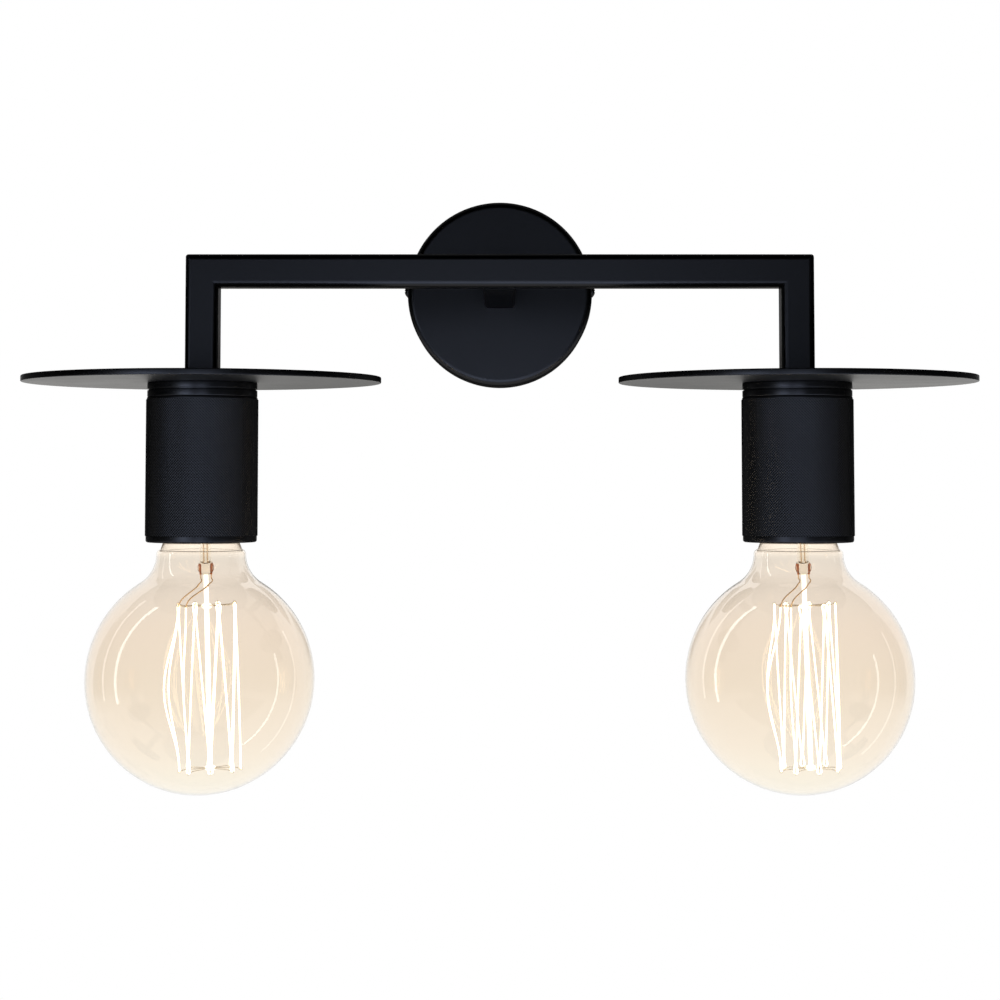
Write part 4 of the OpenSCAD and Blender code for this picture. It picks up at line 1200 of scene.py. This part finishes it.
studioSettings = {
    "floorDrop": 1.8, "floorSize": 4.0, "ambient": 0.55, "flagFar": 1.35,
    "glow": (0.66, 0.76, 1.0), "white": (1, 0.985, 0.955), "cardLow": -0.6, "cardHigh": 0.8,
    "cardFront": -1.5, "cardBack": 0.7,
}


def whiteWhenSeen(nodes, links, dim, white, out):
    # White straight on, in reflections and through glass, and dim for all other light
    path = addNode(nodes, "LightPath")
    seen = addNode(nodes, "Math", operation="MAXIMUM")
    either = addNode(nodes, "Math", operation="MAXIMUM")
    mix = addNode(nodes, "MixShader")
    wire(links, (path, "Is Camera Ray", seen, 0), (path, "Is Glossy Ray", seen, 1),
         (seen, 0, either, 0), (path, "Is Transmission Ray", either, 1), (either, 0, mix, "Fac"),
         (dim, 0, mix, 1), (white, 0, mix, 2), (mix, 0, out, "Surface"))


def makeWorld():
    world = bpy.data.worlds.new("whiteSurround")
    world.use_nodes = True
    bpy.context.scene.world = world
    nodes, links = world.node_tree.nodes, world.node_tree.links
    nodes.clear()
    dim = addNode(nodes, "Background", {
        "Color": (0.95, 0.97, 1, 1), "Strength": studioSettings["ambient"]})
    white = addNode(nodes, "Background", {"Color": (1, 1, 1, 1), "Strength": 1})
    whiteWhenSeen(nodes, links, dim, white, addNode(nodes, "OutputWorld"))


def makePlane(name, one, two, material):
    # Rectangle between two opposite corners, which share one coordinate
    first, second = [i for i in range(3) if one[i] != two[i]]
    corners = []
    for a, b in ((one, one), (two, one), (two, two), (one, two)):
        corner = list(one)
        corner[first], corner[second] = a[first], b[second]
        corners.append(corner)
    mesh = bpy.data.meshes.new(name)
    mesh.from_pydata(corners, [], [[0, 1, 2, 3]])
    mesh.materials.append(material)
    plane = bpy.data.objects.new(name, mesh)
    bpy.context.scene.collection.objects.link(plane)
    return plane


def makeFloor():
    s = studioSettings
    material, nodes, links, shader = startMaterial("paleFloor")
    setInputs(shader, {"Base Color": (0.86, 0.86, 0.86, 1), "Roughness": 0.7})
    whiteWhenSeen(nodes, links, shader, addNode(nodes, "Emission", {"Strength": 1}),
                  nodes["Material Output"])
    half = s["floorSize"] / 2
    z = -s["floorDrop"]
    makePlane("floor", (-half, -half, z), (half, half, z), material)


def hideFromCamera(plane):
    for kind in ("camera", "transmission", "shadow", "diffuse"):
        setattr(plane, "visible_" + kind, False)


def stepRamp(nodes, links, value, low, high, stops):
    # A smooth curve of brightness over a length, given as (share of the length, brightness)
    share = addNode(nodes, "MapRange", {"From Min": low, "From Max": high})
    curve = addNode(nodes, "FloatCurve")
    peak = max(b for _, b in stops)
    points = curve.mapping.curves[0].points
    points[0].location = (stops[0][0], stops[0][1] / peak)
    points[-1].location = (stops[-1][0], stops[-1][1] / peak)
    for place, bright in stops[1:-1]:
        points.new(place, bright / peak)
    curve.mapping.update()
    scaled = addNode(nodes, "Math", {1: peak}, "MULTIPLY")
    links.new(value, share.inputs["Value"])
    wire(links, (share, "Result", curve, "Value"), (curve, "Value", scaled, 0))
    return scaled.outputs[0]


# Curved light strips that draw the thin arcs on the globes. Each stands where its reflection
# falls at a share of the globe's radius, and lights the glass alone.
arcSettings = {
    "globeHeight": -170.8, "away": 150.0, "steps": 40,
    # share of the radius, width as a share, from angle, to angle, strength
    "arcs": [(0.722, 0.022, 107, 196, 8.5), (0.83, 0.012, 125, 192, 2.4),
             (0.667, 0.016, -57, 19, 7), (0.815, 0.012, -50, 30, 2.1)],
}


def makeArcMaterial(strength):
    material, nodes, links, _ = startMaterial("arcGlow")
    glow = addNode(nodes, "Emission", {"Color": (1, 0.99, 0.97, 1), "Strength": strength})
    both = addNode(nodes, "AddShader")
    wire(links, (glow, 0, both, 0), (addNode(nodes, "BsdfTransparent"), 0, both, 1),
         (both, 0, nodes["Material Output"], "Surface"))
    return material


def makeArcs():
    s = arcSettings
    eye = Vector((0, lampY - cameraSettings["distance"], cameraSettings["height"]))
    for side in sides:
        lit = bpy.data.collections.new(side + "GlassOnly")
        lit.objects.link(bpy.data.objects[side + "Globe"])
        centre = Vector((lampX[side], lampY, s["globeHeight"]))
        toEye = (eye - centre).normalized()
        across = Vector((0, 0, 1)).cross(toEye).normalized()
        up = toEye.cross(across)
        for share, wide, start, end, strength in s["arcs"]:
            verts = []
            for turn in map(math.radians, evenly(start, end, s["steps"])):
                outward = across * math.cos(turn) + up * math.sin(turn)
                for edge in (-0.5, 0.5):
                    lean = math.asin(share + edge * wide)
                    normal = toEye * math.cos(lean) + outward * math.sin(lean)
                    mirrored = toEye * math.cos(2 * lean) + outward * math.sin(2 * lean)
                    place = centre + normal * globeSettings["radius"] + mirrored * s["away"]
                    verts.append(place * mm)
            mesh = bpy.data.meshes.new("arc")
            mesh.from_pydata(verts, [], [[2 * k, 2 * k + 1, 2 * k + 3, 2 * k + 2]
                                         for k in range(s["steps"])])
            mesh.materials.append(makeArcMaterial(strength))
            strip = bpy.data.objects.new(side + "Arc", mesh)
            bpy.context.scene.collection.objects.link(strip)
            hideFromCamera(strip)
            strip.light_linking.receiver_collection = lit


# Cards and flags round the object, seen only in reflections. The brightness of each is a sum,
# or the largest, of products of curves, given as (axis, low, high, ((share, brightness), ...)).
far = studioSettings["flagFar"]
low, high = studioSettings["cardLow"], studioSettings["cardHigh"]
front, back = studioSettings["cardFront"], studioSettings["cardBack"]
fadeBack = [("Y", front, back, ((0, 0), (0.75, 0), (1, 1)))]
fadeLow = [("Z", low, high, ((0, 0.9), (0.1, 0.65), (0.25, 0), (1, 0)))]
cardSettings = {
    "frontCard": ("glow", "ADD", (-far, front, low), (far, front, high), [
        [   # what the bar, the arm and the plate reflect
            ("X", -far, far, ((0, 0), (0.4, 0), (0.43, 1), (0.57, 1), (0.6, 0), (1, 0))),
            ("Z", low, high, ((0, 3.6), (0.3, 1.95), (0.45, 1.4), (0.52, 0.6), (0.6, 0.05),
                              (1, 0))),
        ],
        [   # the drop tubes
            ("X", -far, far, ((0, 0), (0.34, 0), (0.37, 1), (0.4, 1), (0.43, 0), (0.57, 0),
                              (0.6, 1), (0.63, 1), (0.66, 0), (1, 0))),
            ("Z", low, high, ((0, 0), (0.45, 0.02), (0.49, 0.3), (0.53, 0.85), (0.6, 0.05),
                              (1, 0))),
        ],
        [   # the lampholders
            ("X", -far, far, ((0, 1.7), (0.24, 2.5), (0.31, 1), (0.35, 0.15), (0.43, 0.05),
                              (0.57, 0.05), (0.6, 0.1), (0.68, 0.05), (1, 0))),
            ("Z", low, high, ((0, 1.2), (0.15, 1.6), (0.3, 2), (0.4, 1.5), (0.43, 1.1), (0.46, 0),
                              (1, 0))),
        ],
    ]),
    "lowCard": ("glow", "ADD", (-far, front, low), (far, -0.5, low), [
        [
            ("X", -far, far, ((0, 0.4), (0.35, 1), (0.65, 1), (1, 0.4))),
            ("Y", front, -0.5, ((0, 3.4), (0.5, 2.6), (1, 1))),
        ],
    ]),
    "topFlag": ("white", "MAXIMUM", (-far, front, high), (far, back, high), [
        [("Y", front, back, ((0, 0), (0.62, 0), (0.72, 0.5), (1, 1)))],
    ]),
    "sideCard": ("white", "ADD", (-far, front, low), (-far, -1.2, high), [
        [
            ("Y", front, -1.2, ((0, 1.6), (0.44, 0.6), (1, 0))),
            ("Z", low, high, ((0, 1.2), (0.3, 2), (0.4, 1.5), (0.46, 0), (1, 0))),
        ],
    ]),
    "leftFlag": ("white", "MAXIMUM", (-far, -1.2, low), (-far, back, high), [fadeBack, fadeLow]),
    "rightFlag": ("white", "MAXIMUM", (far, front, low), (far, back, high), [fadeBack, fadeLow]),
    "wallShade": ("white", "MAXIMUM", (-0.34, 0.35, -0.3), (0.34, 0.35, 0), [
        [("X", -0.34, 0.34, ((0, 0.92), (0.2, 0.75), (0.35, 0.28), (0.4, 0.3), (0.44, 1), (0.56, 1),
                             (0.6, 0.3), (0.65, 0.28), (0.8, 0.75), (1, 0.92)))],
        [("Z", -0.3, 0, ((0, 1), (0.36, 0.85), (0.72, 0), (0.9, 0.1), (1, 1)))],
    ]),
    "rimShade": ("white", "MAXIMUM", (-0.06, 0.05, -0.064), (0.06, 0.05, -0.02), [
        [("X", -0.06, 0.06, ((0, 0.3), (0.2, 0.07), (0.8, 0.07), (1, 0.3)))],
    ]),
}
metalCards = ("frontCard", "lowCard", "sideCard", "topFlag")


def joinValues(nodes, links, operation, first, second):
    if first is None:
        return second
    node = addNode(nodes, "Math", operation=operation)
    links.new(first, node.inputs[0])
    links.new(second, node.inputs[1])
    return node.outputs[0]


def makeCards():
    spared = bpy.data.collections.new("allButGlass")
    for side in sides:
        spared.objects.link(bpy.data.objects[side + "Globe"])
    for entry in spared.collection_objects:
        entry.light_linking.link_state = "EXCLUDE"
    for name, (tone, joint, one, two, terms) in cardSettings.items():
        material, nodes, links, shader = startMaterial(name)
        setInputs(shader, {"Base Color": (0, 0, 0, 1), "Specular IOR Level": 0,
                           "Emission Color": (*studioSettings[tone], 1)})
        coords = addNode(nodes, "TexCoord")
        split = addNode(nodes, "SeparateXYZ")
        links.new(coords.outputs["Object"], split.inputs[0])
        total = None
        for term in terms:
            product = None
            for axis, start, end, stops in term:
                value = stepRamp(nodes, links, split.outputs[axis], start, end, stops)
                product = joinValues(nodes, links, "MULTIPLY", product, value)
            total = joinValues(nodes, links, joint, total, product)
        links.new(total, shader.inputs["Emission Strength"])
        card = makePlane(name, one, two, material)
        hideFromCamera(card)
        if name in metalCards:                          # these light the metal, and not the globes
            card.light_linking.receiver_collection = spared


lightSettings = [
    # name, place, aimed at, width, height, power, colour
    ("leftStrip", (-0.95, -0.75, 0.25), (-0.1, -0.13, -0.12), 0.18, 0.9, 9.0, (1, 0.98, 0.96)),
    ("rightStrip", (0.95, -0.6, -0.05), (0.1, -0.13, -0.15), 0.12, 0.8, 7.0, (1, 0.98, 0.96)),
    ("lowFill", (0.0, -1.1, -0.55), (0.0, -0.13, -0.05), 1.4, 0.25, 5.0, (0.96, 0.97, 1)),
]


def makeLights():
    for name, place, aim, wide, tall, power, colour in lightSettings:
        data = bpy.data.lights.new(name, "AREA")
        data.shape = "RECTANGLE"
        data.size, data.size_y = wide, tall
        data.energy = power
        data.color = colour
        lamp = bpy.data.objects.new(name, data)
        lamp.location = place
        lamp.rotation_euler = (Vector(aim) - Vector(place)).to_track_quat("-Z", "Y").to_euler()
        lamp.visible_glossy = lamp.visible_transmission = False
        bpy.context.scene.collection.objects.link(lamp)


makeWorld()
makeFloor()
makeCards()
makeArcs()
makeLights()
bpy.context.scene.view_settings.view_transform = "Standard"
print("stage: studio")
